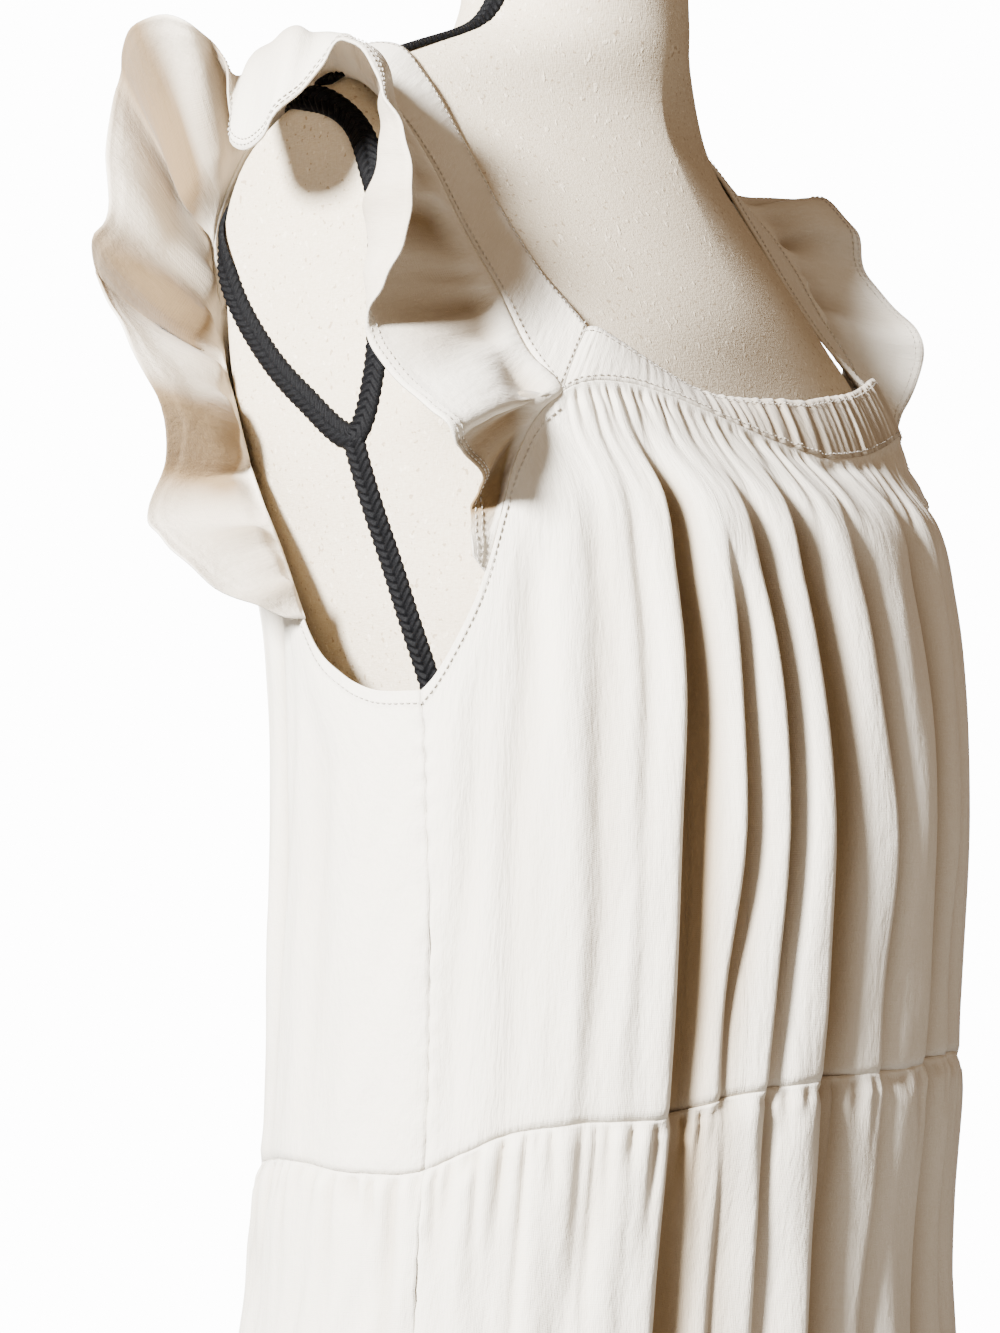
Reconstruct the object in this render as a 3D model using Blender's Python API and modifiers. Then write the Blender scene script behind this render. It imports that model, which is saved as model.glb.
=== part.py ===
"""Tiered dress with flutter sleeves, on a limbless dress form with a round base.

The dress faces -Y and the wearer's right is -X. The origin is on the floor under the form's pole.
An angle goes round the body in degrees, from 0 at the centre front to 180 at the centre back,
positive on the wearer's left.
"""

import math

import bpy
import numpy as np

# Cloth and seams
CLOTH = 0.0014
SEAM = 0.0003
SEAM_TURN = 0.06

# Neckline, straps and armholes
CORNER_SHARE = 0.636
BACK_CORNER_SHARE = 0.463
STRAP_INNER_X = 0.120
STRAP_POINTS = 25
FRONT_MITRE_GAP = 0.0013
BACK_MITRE_GAP = 0.0020
BAND_GAP = 0.0008
RUFFLE_GAP = 0.0021
RUFFLE_FRONT_SHARE = 0.874
RUFFLE_BACK_SHARE = 0.758
RUFFLE_POINTS = 61
RUFFLE_ACROSS = (0, 0.3, 0.65, 1)
LEFT_LIFT = 0.35
ARMHOLE_MIDDLE = np.array([0.0, 0.045, 1.200])

# Gathers and folds
GATHER_DEPTH = 0.0022
GATHERS_END = 0.90
TIER_GATHER_DEPTH = 0.0026
FOLD_SPREAD = 0.5
FRONT_GATHERS = 28
FRONT_SIDE_GATHERS = 5
BACK_GATHERS = 17
BACK_SIDE_GATHERS = 8
HEM_WAVES = 15
HEM_WAVE_DEPTH = 0.010

# Dress form and stand
PLATE_X = 0.160
PLATE_BLEND = 0.006
BRAID_WIDTH = 0.009
BRAID_THICK = 0.0026
BRAID_LIFT = 0.0009
PLATE_BRAID_LIFT = 0.0018
SIDE_BRAID_TOP = 1.175
SHOULDER_BRAID_LOW = 1.340
SHOULDER_BRAID_TOP = 1.460
FORM_COLUMNS = 40
FORM_BOTTOM = 0.700
POLE_RADIUS = 0.0125
BASE_RADIUS = 0.170
BASE_THICK = 0.020
BASE_EDGE = 0.004

# A finish is a colour, a roughness and a metallic value.
IVORY_CLOTH = ((0.86, 0.82, 0.75), 0.85, 0.0)
FORM_CANVAS = ((0.72, 0.66, 0.55), 0.90, 0.0)
BLACK_GIMP = ((0.02, 0.02, 0.028), 0.55, 0.0)
BLACK_STEEL = ((0.05, 0.05, 0.05), 0.35, 0.8)


def table(columns, *rows):
    """A short table as one array for each named column."""
    return dict(zip(columns.split(), map(np.array, zip(*rows))))


# Sections of the dress's smooth tube, before folds. A power of 2 is an ellipse, and more is squarer.
DRESS_RINGS = table(
    "height half_width front_depth back_depth front_power back_power",
    (0.270, 0.276, 0.216, 0.236, 2.0, 2.0),
    (0.440, 0.252, 0.190, 0.212, 2.0, 2.0),
    (0.600, 0.228, 0.165, 0.189, 2.0, 2.0),
    (0.720, 0.208, 0.146, 0.169, 2.0, 2.0),
    (0.800, 0.198, 0.138, 0.157, 2.0, 2.0),
    (0.890, 0.190, 0.143, 0.146, 2.0, 2.0),
    (0.960, 0.185, 0.148, 0.148, 2.0, 2.0),
    (1.030, 0.181, 0.154, 0.150, 2.0, 2.0),
    (1.080, 0.179, 0.150, 0.148, 2.1, 2.1),
    (1.127, 0.177, 0.140, 0.150, 2.2, 2.3),
    (1.160, 0.175, 0.129, 0.149, 2.3, 2.7),
    (1.185, 0.174, 0.108, 0.146, 2.4, 3.2),
    (1.205, 0.174, 0.100, 0.144, 2.5, 3.5),
    (1.255, 0.176, 0.086, 0.139, 2.5, 4.0),
    (1.290, 0.178, 0.078, 0.137, 2.5, 4.0),
)

# Where the side seams stand, and the upper edges: a share of 0 is the centre and 1 a side seam.
SIDE_SEAM = table("height angle", (0.92, 78.0), (1.00, 79.6), (1.08, 82.4))
FRONT_TOP = table(
    "share height",
    (0.000, 1.184), (0.135, 1.190), (0.234, 1.196), (0.376, 1.204), (0.461, 1.207), (0.636, 1.2014),
    (0.752, 1.182), (0.831, 1.157), (0.874, 1.1275), (0.934, 1.100), (0.980, 1.0843), (1.000, 1.080),
)
BACK_TOP = table(
    "share height",
    (0.000, 1.248), (0.300, 1.250), (0.463, 1.252), (0.540, 1.232), (0.615, 1.2086), (0.693, 1.154),
    (0.758, 1.111), (0.855, 1.087), (0.907, 1.0813), (1.000, 1.080),
)
FIRST_SEAM = table(
    "angle height",
    (0, 0.918), (20, 0.918), (30, 0.9155), (41, 0.9085), (55, 0.907), (66, 0.902), (72, 0.895),
    (78, 0.888), (90, 0.8845), (110, 0.8835), (138, 0.870), (180, 0.865),
)
SECOND_SEAM = table("angle height", (0, 0.606), (78, 0.596), (180, 0.586))
HEM = table("angle height", (0, 0.276), (180, 0.272))

# The largest folds: a valley at each angle, with its depth and half width in degrees.
FOLDS = table(
    "angle depth width",
    (-66, 0.0030, 5.0), (-53, 0.0036, 4.0), (-40.5, 0.0120, 3.0), (-32, 0.0085, 2.5), (-25, 0.0100, 2.4),
    (-15.5, 0.0130, 3.2), (-4, 0.0100, 2.8), (9.5, 0.0110, 3.6), (20, 0.0085, 2.7), (29, 0.0100, 3.0),
    (40, 0.0100, 3.2), (52, 0.0040, 4.0), (66, 0.0030, 5.0), (96, 0.0030, 5.0), (112, 0.0050, 4.5),
    (127, 0.0060, 4.0), (139, 0.0080, 3.4), (151, 0.0070, 3.2), (163, 0.0090, 3.4), (176, 0.0080, 3.2),
    (-171, 0.0090, 3.4), (-158, 0.0080, 3.2), (-147, 0.0070, 3.0), (-135, 0.0080, 3.6), (-120, 0.0050, 4.2),
    (-104, 0.0040, 5.0), (-90, 0.0020, 4.0),
)

# A panel's rows from its top seam to its low one: how much of the gathers, folds and waves each has.
FRONT_ROWS = table(
    "down gather fold",
    (0.00, 0.00, 0.00), (0.03, 0.75, 0.06), (0.08, 0.87, 0.35), (0.15, 0.64, 0.84), (0.24, 0.35, 1.00),
    (0.35, 0.00, 1.00), (0.48, 0.00, 1.00), (0.62, 0.00, 1.00), (0.76, 0.00, 0.94), (0.90, 0.00, 0.59),
    (1.00, 0.00, 0.45),
)
BACK_ROWS = table(
    "down gather fold",
    (0.00, 0.00, 0.00), (0.03, 0.75, 0.06), (0.09, 0.83, 0.42), (0.20, 0.48, 1.00), (0.36, 0.00, 1.00),
    (0.56, 0.00, 1.00), (0.78, 0.00, 0.90), (1.00, 0.00, 0.45),
)
UPPER_TIER_ROWS = table(
    "down gather fold wave",
    (0.00, 0.00, 0.45, 0.00), (0.05, 1.00, 0.46, 0.02), (0.16, 0.56, 0.48, 0.05), (0.52, 0.28, 0.55, 0.16),
    (1.00, 0.00, 0.65, 0.30),
)
LOWER_TIER_ROWS = table(
    "down gather fold wave",
    (0.00, 0.00, 0.65, 0.30), (0.07, 0.92, 0.64, 0.35), (1.00, 0.00, 0.50, 1.00),
)

# The neckband's upper edge over its gathered one: how far up, back and towards the centre it lies.
FRONT_BAND = table(
    "share rise back inset",
    (-0.636, 0.0293, 0.0032, 0.0230), (-0.500, 0.0190, 0.0060, 0.0130), (-0.376, 0.0135, 0.0090, 0.0080),
    (-0.234, 0.0125, 0.0125, 0.0050), (-0.100, 0.0200, 0.0130, 0.0020), (0.000, 0.0264, 0.0130, 0.0000),
    (0.234, 0.0270, 0.0110, -0.0060), (0.461, 0.0270, 0.0080, -0.0140), (0.636, 0.0293, 0.0032, -0.0230),
)
BACK_BAND = table(
    "share rise back inset",
    (-0.463, 0.0270, 0.0060, 0.0260), (0.000, 0.0280, -0.0020, 0.0000), (0.463, 0.0270, 0.0060, -0.0260),
)

# A strap's two edges, from the front mitre over the shoulder to the back one.
STRAP = table(
    "inner_y inner_z outer_x outer_y outer_z",
    (-0.0530, 1.2430, 0.1470, -0.0539, 1.2190),
    (-0.0420, 1.2549, 0.1500, -0.0409, 1.2443),
    (-0.0185, 1.2869, 0.1500, -0.0206, 1.2750),
    (0.0040, 1.3225, 0.1500, -0.0045, 1.3022),
    (0.0220, 1.3500, 0.1500, 0.0170, 1.3290),
    (0.0360, 1.3650, 0.1500, 0.0360, 1.3450),
    (0.0550, 1.3690, 0.1500, 0.0560, 1.3490),
    (0.0780, 1.3600, 0.1500, 0.0800, 1.3410),
    (0.1030, 1.3380, 0.1500, 0.1040, 1.3180),
    (0.1230, 1.3080, 0.1500, 0.1190, 1.2880),
)

# The ruffle's free edge, a row for each crest, trough or turn, and the seam share it hangs from.
RUFFLE_EDGE = table(
    "seam x y left_y z belly lift",
    (0.000, 0.1760, -0.0465, -0.0465, 1.1340, 0.000, 0.000),
    (0.060, 0.1800, -0.0484, -0.0484, 1.1516, 0.000, 0.000),
    (0.120, 0.1980, -0.0646, -0.0646, 1.1709, 0.002, 0.000),
    (0.170, 0.2100, -0.0518, -0.0518, 1.1880, -0.004, 0.000),
    (0.215, 0.2160, -0.0264, -0.0264, 1.2160, -0.006, 0.002),
    (0.265, 0.2220, -0.0367, -0.0367, 1.2401, 0.012, 0.002),
    (0.310, 0.2150, -0.0469, -0.0469, 1.2672, 0.018, 0.004),
    (0.370, 0.2080, -0.0328, -0.0150, 1.3074, 0.016, 0.007),
    (0.405, 0.2000, -0.0160, -0.0130, 1.3293, 0.010, 0.010),
    (0.440, 0.1960, 0.0060, 0.0060, 1.3480, 0.000, 0.010),
    (0.465, 0.1980, 0.0170, 0.0170, 1.3372, -0.002, 0.017),
    (0.515, 0.2050, 0.0395, 0.0395, 1.3097, -0.002, 0.027),
    (0.550, 0.2000, 0.0628, 0.0628, 1.3121, 0.000, 0.020),
    (0.580, 0.1900, 0.0740, 0.0740, 1.3477, 0.000, 0.006),
    (0.620, 0.1880, 0.0986, 0.0986, 1.3665, 0.000, 0.004),
    (0.680, 0.2000, 0.1343, 0.1343, 1.3578, 0.000, 0.004),
    (0.715, 0.2100, 0.1289, 0.1289, 1.3163, -0.006, 0.000),
    (0.745, 0.1970, 0.1351, 0.1351, 1.2832, 0.000, 0.000),
    (0.770, 0.2200, 0.1288, 0.1288, 1.2678, 0.006, 0.000),
    (0.800, 0.2150, 0.1161, 0.1161, 1.2418, 0.000, 0.000),
    (0.848, 0.1930, 0.1050, 0.1050, 1.1970, -0.005, 0.000),
    (0.885, 0.2100, 0.1035, 0.1035, 1.1633, 0.004, 0.000),
    (0.920, 0.2080, 0.0920, 0.0920, 1.1417, 0.004, 0.000),
    (0.960, 0.1950, 0.0663, 0.0663, 1.1207, 0.000, 0.000),
    (1.000, 0.1790, 0.0500, 0.0500, 1.1120, 0.000, 0.000),
)

# Sections of the dress form, whose widest line lies at centre.
FORM_RINGS = table(
    "height half_width front_depth back_depth centre front_power back_power",
    (0.700, 0.148, 0.106, 0.110, 0.000, 2.1, 2.1),
    (0.712, 0.157, 0.114, 0.119, 0.000, 2.1, 2.1),
    (0.780, 0.163, 0.118, 0.124, 0.000, 2.1, 2.1),
    (0.860, 0.152, 0.108, 0.116, 0.000, 2.1, 2.1),
    (0.960, 0.119, 0.090, 0.092, 0.000, 2.1, 2.1),
    (1.040, 0.134, 0.116, 0.106, 0.000, 2.1, 2.1),
    (1.080, 0.145, 0.128, 0.112, 0.000, 2.1, 2.1),
    (1.110, 0.150, 0.129, 0.117, 0.002, 2.1, 2.1),
    (1.150, 0.155, 0.121, 0.117, 0.012, 2.1, 2.1),
    (1.190, 0.166, 0.119, 0.100, 0.032, 2.1, 2.2),
    (1.220, 0.182, 0.116, 0.088, 0.045, 2.2, 2.3),
    (1.250, 0.192, 0.115, 0.079, 0.052, 2.0, 2.4),
    (1.290, 0.194, 0.103, 0.075, 0.055, 1.6, 2.4),
    (1.320, 0.180, 0.084, 0.066, 0.054, 1.4, 2.2),
    (1.340, 0.154, 0.075, 0.060, 0.050, 1.3, 1.7),
    (1.357, 0.126, 0.067, 0.055, 0.044, 1.3, 1.5),
    (1.370, 0.098, 0.062, 0.053, 0.038, 1.45, 1.6),
    (1.384, 0.073, 0.058, 0.052, 0.032, 1.7, 1.8),
    (1.400, 0.060, 0.054, 0.052, 0.028, 2.0, 2.0),
    (1.430, 0.054, 0.053, 0.053, 0.026, 2.0, 2.0),
    (1.470, 0.053, 0.053, 0.053, 0.025, 2.0, 2.0),
)
FORM_LEVELS = np.array((
    FORM_BOTTOM, 0.712, 0.780, 0.840, 0.900, 0.960, 1.020, 1.060, 1.100, 1.140, 1.170, 1.195, 1.215,
    1.240, 1.265, 1.290, 1.310, 1.328, 1.343, 1.357, 1.370, 1.384, 1.400, 1.420, 1.440, 1.470,
))

# The braid round an arm plate, an egg shape with its point at the side seam.
PLATE_BRAID = table(
    "y z",
    (0.0300, 1.1890), (0.0165, 1.2150), (0.0125, 1.2550), (0.0128, 1.2960), (0.0280, 1.3235),
    (0.0560, 1.3350), (0.0880, 1.3310), (0.1050, 1.3100), (0.1065, 1.2830), (0.0975, 1.2560),
    (0.0790, 1.2290), (0.0575, 1.2080),
)
PLATE_BRAID_POINTS = 28
SIDE_BRAID = table(
    "y z",
    (0.0285, 1.1830), (0.0190, 1.1500), (0.0080, 1.1150), (-0.0020, 1.0800), (-0.0080, 1.0400),
    (-0.0100, 0.9900), (-0.0100, 0.9300), (-0.0100, 0.8600), (-0.0100, 0.7900), (-0.0100, 0.7250),
)
BRAID_SECTION = table(
    "across out", (-0.50, 0.0), (-0.45, 0.6), (-0.20, 1.0), (0.20, 1.0), (0.45, 0.6), (0.50, 0.0)
)

collection = None


def smooth(places, values, where):
    """A smooth curve through a table's column, held past its ends."""
    where = np.clip(where, places[0], places[-1])
    slopes = np.gradient(values, places)
    left = np.clip(np.searchsorted(places, where, side="right") - 1, 0, len(places) - 2)
    span = places[left + 1] - places[left]
    part = (where - places[left]) / span
    return (
        values[left] * (1 + 2 * part) * (1 - part) ** 2
        + slopes[left] * span * part * (1 - part) ** 2
        + values[left + 1] * part**2 * (3 - 2 * part)
        - slopes[left + 1] * span * part**2 * (1 - part)
    )


def column(of, name, where):
    """A column of a table, read at a value of its first column."""
    first = next(iter(of.values()))
    return smooth(first, of[name], where)


def unit(vectors):
    return vectors / np.linalg.norm(vectors, axis=-1, keepdims=True)


def ring_point(rings, angle, height):
    """A point of a tube that these sections make, at an angle and a height."""
    across, ahead = np.sin(np.radians(angle)), np.cos(np.radians(angle))
    is_front = ahead >= 0
    power = np.where(is_front, column(rings, "front_power", height), column(rings, "back_power", height))
    depth = np.where(is_front, column(rings, "front_depth", height), column(rings, "back_depth", height))
    centre = column(rings, "centre", height) if "centre" in rings else 0
    x = column(rings, "half_width", height) * np.sign(across) * np.abs(across) ** (2 / power)
    y = centre - depth * np.sign(ahead) * np.abs(ahead) ** (2 / power)
    return np.stack([x, y, height + 0 * x], axis=-1)


def outward(angle, height):
    """The dress tube's level outward direction."""
    step = ring_point(DRESS_RINGS, angle + 1.5, height) - ring_point(DRESS_RINGS, angle - 1.5, height)
    return unit(np.stack([step[..., 1], -step[..., 0], 0 * step[..., 0]], axis=-1))


def fold_depth(angle, widen):
    """How far the largest folds fall in at an angle."""
    total = 0
    for place, depth, width in zip(FOLDS["angle"], FOLDS["depth"], FOLDS["width"]):
        apart = (angle - place + 180) % 360 - 180
        total = total + depth * np.exp(-((apart / (width * widen)) ** 2))
    return total


def ramp(value, low, high):
    part = np.clip((value - low) / (high - low), 0, 1)
    return part * part * (3 - 2 * part)


def front_angle(share, height):
    return share * (column(SIDE_SEAM, "angle", height) - SEAM_TURN)


def back_angle(share, height):
    return 180 - share * (180 - column(SIDE_SEAM, "angle", height) - SEAM_TURN)


def from_front(angle):
    """The angle from the centre front, without its side."""
    return np.abs((angle + 180) % 360 - 180)


def panel_columns(corner, gathers, side_gathers):
    """Column shares from side to side, two for each gather."""
    middle = np.linspace(-corner, corner, 2 * gathers + 1)
    side = np.linspace(corner, 1, 2 * side_gathers + 1)[1:]
    return np.concatenate([-side[::-1], middle, side])


FRONT_COLUMNS = panel_columns(CORNER_SHARE, FRONT_GATHERS, FRONT_SIDE_GATHERS)
BACK_COLUMNS = panel_columns(BACK_CORNER_SHARE, BACK_GATHERS, BACK_SIDE_GATHERS)


def gather_sign(shares):
    """Out and in by turns, and flat at the side seams."""
    turns = np.where(np.arange(len(shares)) % 2 == 0, 1.0, -1.0)
    return turns * (1 - ramp(np.abs(shares), GATHERS_END, 1.0))


def gather_height(angle):
    """Neighbouring gathers of a tier differ in height."""
    turn = np.radians(angle)
    return 0.75 + 0.25 * np.sin(23 * turn) * np.sin(9 * turn + 1)


def hem_wave(angle):
    """The tiers' slow waves, crowded and spread by turns."""
    turn = np.radians(angle)
    return HEM_WAVE_DEPTH * np.cos(HEM_WAVES * turn + 1.3 * np.sin(3 * turn))


def panel_grid(shares, angle_of, top_table, corner, rows):
    """A gathered bodice panel, from its upper edge down to the first tier seam."""
    down, gather, fold = (rows[name][:, None] for name in ("down", "gather", "fold"))
    seam_angle = from_front(angle_of(shares, SIDE_SEAM["height"][0]))
    low = column(FIRST_SEAM, "height", seam_angle) + SEAM / 2
    high = column(top_table, "height", np.abs(shares)) - BAND_GAP / 2
    height = high + (low - high) * down
    angle = angle_of(shares[None, :], height)
    by_column = gather_sign(shares) * (1 - ramp(np.abs(shares), corner - 0.06, corner))
    out = GATHER_DEPTH * gather * by_column - fold * fold_depth(angle, 1.0)
    return ring_point(DRESS_RINGS, angle, height) + out[..., None] * outward(angle, height)


def tier_grid(shares, angle_of, top_table, low_table, rows):
    """A gathered tier between two seams, or a seam and the hem."""
    down, gather, fold, wave = (rows[name][:, None] for name in ("down", "gather", "fold", "wave"))
    seam_angle = from_front(angle_of(shares, SIDE_SEAM["height"][0]))
    high = column(top_table, "height", seam_angle) - SEAM / 2
    low = column(low_table, "height", seam_angle) + SEAM / 2
    height = high + (low - high) * down
    angle = angle_of(shares[None, :], height)
    out = TIER_GATHER_DEPTH * gather * gather_sign(shares) * gather_height(angle)
    out = out - fold * fold_depth(angle, 1 + FOLD_SPREAD * down) + wave * hem_wave(angle)
    return ring_point(DRESS_RINGS, angle, height) + out[..., None] * outward(angle, height)


def band_edges(shares, angle_of, top_table, band):
    """A neckband's gathered edge and the free one above it."""
    height = column(top_table, "height", np.abs(shares)) + BAND_GAP / 2
    lower = ring_point(DRESS_RINGS, angle_of(shares, height), height)
    upper = lower + np.stack([column(band, name, shares) for name in ("inset", "back", "rise")], axis=-1)
    return lower, upper


def front_band_edges():
    shares = FRONT_COLUMNS[np.abs(FRONT_COLUMNS) < CORNER_SHARE + 1e-6]
    return band_edges(shares, front_angle, FRONT_TOP, FRONT_BAND)


def back_band_edges():
    shares = BACK_COLUMNS[np.abs(BACK_COLUMNS) < BACK_CORNER_SHARE + 1e-6]
    return band_edges(shares, back_angle, BACK_TOP, BACK_BAND)


def mirrored(points, side):
    return points * np.array([side, 1, 1])


def round_trip(values, count):
    """A smooth closed run through a table's column."""
    whole = np.tile(values, 3)
    places = np.arange(len(whole))
    return smooth(places, whole, len(values) * (1 + np.arange(count) / count))


def resampled(points, count):
    """The same path with evenly spaced points."""
    length = np.concatenate([[0], np.cumsum(np.linalg.norm(np.diff(points, axis=0), axis=1))])
    where = np.linspace(0, length[-1], count)
    return np.stack([smooth(length, points[:, axis], where) for axis in range(3)], axis=-1)


def strap_edges():
    """The left strap's inner and outer edges, between the two mitres."""
    front_low, front_up = (edge[-1] for edge in front_band_edges())
    back_low, back_up = (edge[-1] for edge in back_band_edges())
    inner = np.stack([0 * STRAP["inner_y"] + STRAP_INNER_X, STRAP["inner_y"], STRAP["inner_z"]], axis=-1)
    outer = np.stack([STRAP["outer_x"], STRAP["outer_y"], STRAP["outer_z"]], axis=-1)
    inner = np.vstack([front_up, inner, back_up])
    outer = np.vstack([front_low, outer, back_low])
    for edge in (inner, outer):
        edge[0] += FRONT_MITRE_GAP * unit(edge[1] - edge[0])
        edge[-1] += BACK_MITRE_GAP * unit(edge[-2] - edge[-1])
    return inner, outer


def ruffle_seam(count):
    """The left ruffle's sewn edge along armhole and strap, just clear of both."""
    front_shares = np.linspace(RUFFLE_FRONT_SHARE, CORNER_SHARE, 7)
    front_height = column(FRONT_TOP, "height", front_shares)
    front = ring_point(DRESS_RINGS, front_angle(front_shares, front_height), front_height)
    back_shares = np.linspace(BACK_CORNER_SHARE, RUFFLE_BACK_SHARE, 7)
    back_height = column(BACK_TOP, "height", back_shares)
    back = ring_point(DRESS_RINGS, back_angle(back_shares, back_height), back_height)
    inner, strap = (points[1:-1] for points in strap_edges())
    edge = np.vstack([front, strap, back])
    along = np.gradient(edge, axis=0)
    normal = np.vstack(
        [
            outward(front_angle(front_shares, front_height), front_height),
            np.cross(along[len(front):len(front) + len(strap)], strap - inner),
            outward(back_angle(back_shares, back_height), back_height),
        ]
    )
    away = unit(np.cross(along, normal))
    towards = ARMHOLE_MIDDLE - edge * np.array([0, 1, 1])
    towards[len(front):len(front) + len(strap)] = (1, 0, 0)
    away *= np.sign(np.sum(away * towards, axis=1, keepdims=True))
    return resampled(edge + RUFFLE_GAP * away, count)


def ruffle_grid(side):
    """A ruffle from its seam to its free edge, on the left side's axes."""
    seam = ruffle_seam(RUFFLE_POINTS)
    share = np.linspace(0, 1, RUFFLE_POINTS)
    names = ("x", "y", "z") if side < 0 else ("x", "left_y", "z")
    free = np.stack([column(RUFFLE_EDGE, name, share) for name in names], axis=-1)
    belly, lift = (column(RUFFLE_EDGE, name, share) for name in ("belly", "lift"))
    lift = lift * (1 if side < 0 else LEFT_LIFT)
    rows = []
    for part in RUFFLE_ACROSS:
        bulge = np.stack([0 * belly, belly, lift], axis=-1) * 4 * part * (1 - part)
        rows.append(seam + (free - seam) * part + bulge)
    return np.array(rows)


def form_side(y, height):
    """How far out the form's side lies at this y and height."""
    at = {name: column(FORM_RINGS, name, height) for name in FORM_RINGS}
    is_front = y < at["centre"]
    depth = np.where(is_front, at["front_depth"], at["back_depth"])
    power = np.where(is_front, at["front_power"], at["back_power"])
    left = np.clip(1 - np.abs((y - at["centre"]) / depth) ** power, 0, 1)
    return soft_limit(at["half_width"] * left ** (1 / power))


def soft_limit(x):
    """The form's sides are cut flat at the arm plates, with a small round."""
    inner = PLATE_X - PLATE_BLEND
    part = np.clip((np.abs(x) - inner) / (2 * PLATE_BLEND), 0, 1)
    flat = inner + 2 * PLATE_BLEND * (part - part**2 / 2)
    return np.sign(x) * np.where(np.abs(x) < inner, np.abs(x), flat)


def paint(made, finish):
    """Gives an object its own material."""
    colour, roughness, metallic = finish
    material = bpy.data.materials.new(made.name)
    material.use_nodes = True
    material.diffuse_color = (*colour, 1.0)
    shader = material.node_tree.nodes["Principled BSDF"]
    shader.inputs["Base Color"].default_value = (*colour, 1.0)
    shader.inputs["Roughness"].default_value = roughness
    shader.inputs["Metallic"].default_value = metallic
    made.data.materials.append(material)


def place(name, mesh, finish):
    """A named object with its own finish, in the dress's collection."""
    mesh.shade_smooth()
    made = bpy.data.objects.new(name, mesh)
    collection.objects.link(made)
    paint(made, finish)
    return made


def loft_mesh(name, grid, tube=False, hoop=False):
    """Quads between the rows of a grid. A tube's rows are rings, and a hoop's last row meets its first."""
    rows, columns = grid.shape[:2]
    faces = []
    for row in range(rows if hoop else rows - 1):
        upper, lower = row * columns, (row + 1) % rows * columns
        for start in range(columns if tube else columns - 1):
            end = (start + 1) % columns
            faces.append((lower + start, lower + end, upper + end, upper + start))
    if tube and not hoop:
        faces.append(tuple(range(columns)))
        faces.append(tuple(range((rows - 1) * columns, rows * columns))[::-1])
    mesh = bpy.data.meshes.new(name)
    mesh.from_pydata(grid.reshape(-1, 3).tolist(), [], faces)
    return mesh


def cloth(name, grid):
    """A cloth wall to both sides of a grid of points."""
    made = place(name, loft_mesh(name, grid), IVORY_CLOTH)
    wall = made.modifiers.new("wall", "SOLIDIFY")
    wall.thickness = CLOTH
    wall.offset = 0.0


def braid(name, path, normals, lift, hoop):
    """A flat gimp braid with rounded edges, laid along a path on the form."""
    ahead = np.roll(path, -1, axis=0) - np.roll(path, 1, axis=0)
    if not hoop:
        ahead[0], ahead[-1] = path[1] - path[0], path[-1] - path[-2]
    side = unit(np.cross(normals, ahead))
    across = BRAID_WIDTH * BRAID_SECTION["across"][:, None]
    out = lift + BRAID_THICK * BRAID_SECTION["out"][:, None]
    rings = path[:, None] + side[:, None] * across + normals[:, None] * out
    face_out(place(name, loft_mesh(name, rings, tube=True, hoop=hoop), BLACK_GIMP))


def side_normals(path):
    """The form's outward directions along a path on its left side."""
    step = 0.002
    y, z = path[:, 1], path[:, 2]
    slope_y = (form_side(y + step, z) - form_side(y - step, z)) / (2 * step)
    slope_z = (form_side(y, z + step) - form_side(y, z - step)) / (2 * step)
    return unit(np.stack([1 + 0 * y, -slope_y, -slope_z], axis=-1))


def build_torso():
    turns = np.arange(FORM_COLUMNS) * 360 / FORM_COLUMNS
    grid = ring_point(FORM_RINGS, turns[None, :], FORM_LEVELS[::-1, None])
    grid[..., 0] = soft_limit(grid[..., 0])
    place("form_torso", loft_mesh("form_torso", grid, tube=True), FORM_CANVAS)


def plate_path():
    y, z = (round_trip(PLATE_BRAID[name], PLATE_BRAID_POINTS) for name in "yz")
    return np.stack([form_side(y, z), y, z], axis=-1)


def side_path():
    high, low = SIDE_BRAID["z"][[0, -1]]
    between = FORM_LEVELS[(FORM_LEVELS > low) & (FORM_LEVELS < SIDE_BRAID_TOP)]
    z = np.concatenate([[high], between[::-1], [low]])
    y = np.interp(-z, -SIDE_BRAID["z"], SIDE_BRAID["y"])
    return np.stack([form_side(y, z), y, z], axis=-1)


def shoulder_path():
    z = FORM_LEVELS[(FORM_LEVELS > SHOULDER_BRAID_LOW) & (FORM_LEVELS < SHOULDER_BRAID_TOP)]
    return np.stack([column(FORM_RINGS, "half_width", z), column(FORM_RINGS, "centre", z), z], axis=-1)


def shoulder_normals(path):
    along = np.gradient(path, axis=0)
    return unit(np.stack([along[:, 2], 0 * along[:, 1], -along[:, 0]], axis=-1))


def build_braids():
    plate, side_line, ridge = plate_path(), side_path(), shoulder_path()
    for name, side in (("right", -1), ("left", 1)):
        for kind, path, normals, lift, hoop in (
            ("armhole_braid", plate, side_normals(plate), PLATE_BRAID_LIFT, True),
            ("side_braid", side_line, side_normals(side_line), BRAID_LIFT, False),
            ("shoulder_braid", ridge, shoulder_normals(ridge), BRAID_LIFT, False),
        ):
            braid(f"{kind}_{name}", mirrored(path, side), mirrored(normals, side), lift, hoop)


def face_out(made):
    """Turns a closed mesh's faces outwards."""
    mesh = made.data
    volume = 0.0
    mesh.calc_loop_triangles()
    for corners in mesh.loop_triangles:
        a, b, c = (mesh.vertices[index].co for index in corners.vertices)
        volume += a.dot(b.cross(c))
    if volume < 0:
        mesh.flip_normals()


def round_bar(name, radius, low, high, sides):
    """An upright round piece of the stand."""
    bpy.ops.mesh.primitive_cylinder_add(
        vertices=sides, radius=radius, depth=high - low, location=(0, 0, (low + high) / 2)
    )
    made = bpy.context.object
    made.name = made.data.name = name
    for held in made.users_collection:
        held.objects.unlink(made)
    collection.objects.link(made)
    paint(made, BLACK_STEEL)
    made.data.shade_smooth()
    made.data.set_sharp_from_angle(angle=math.radians(40))
    return made


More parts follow.
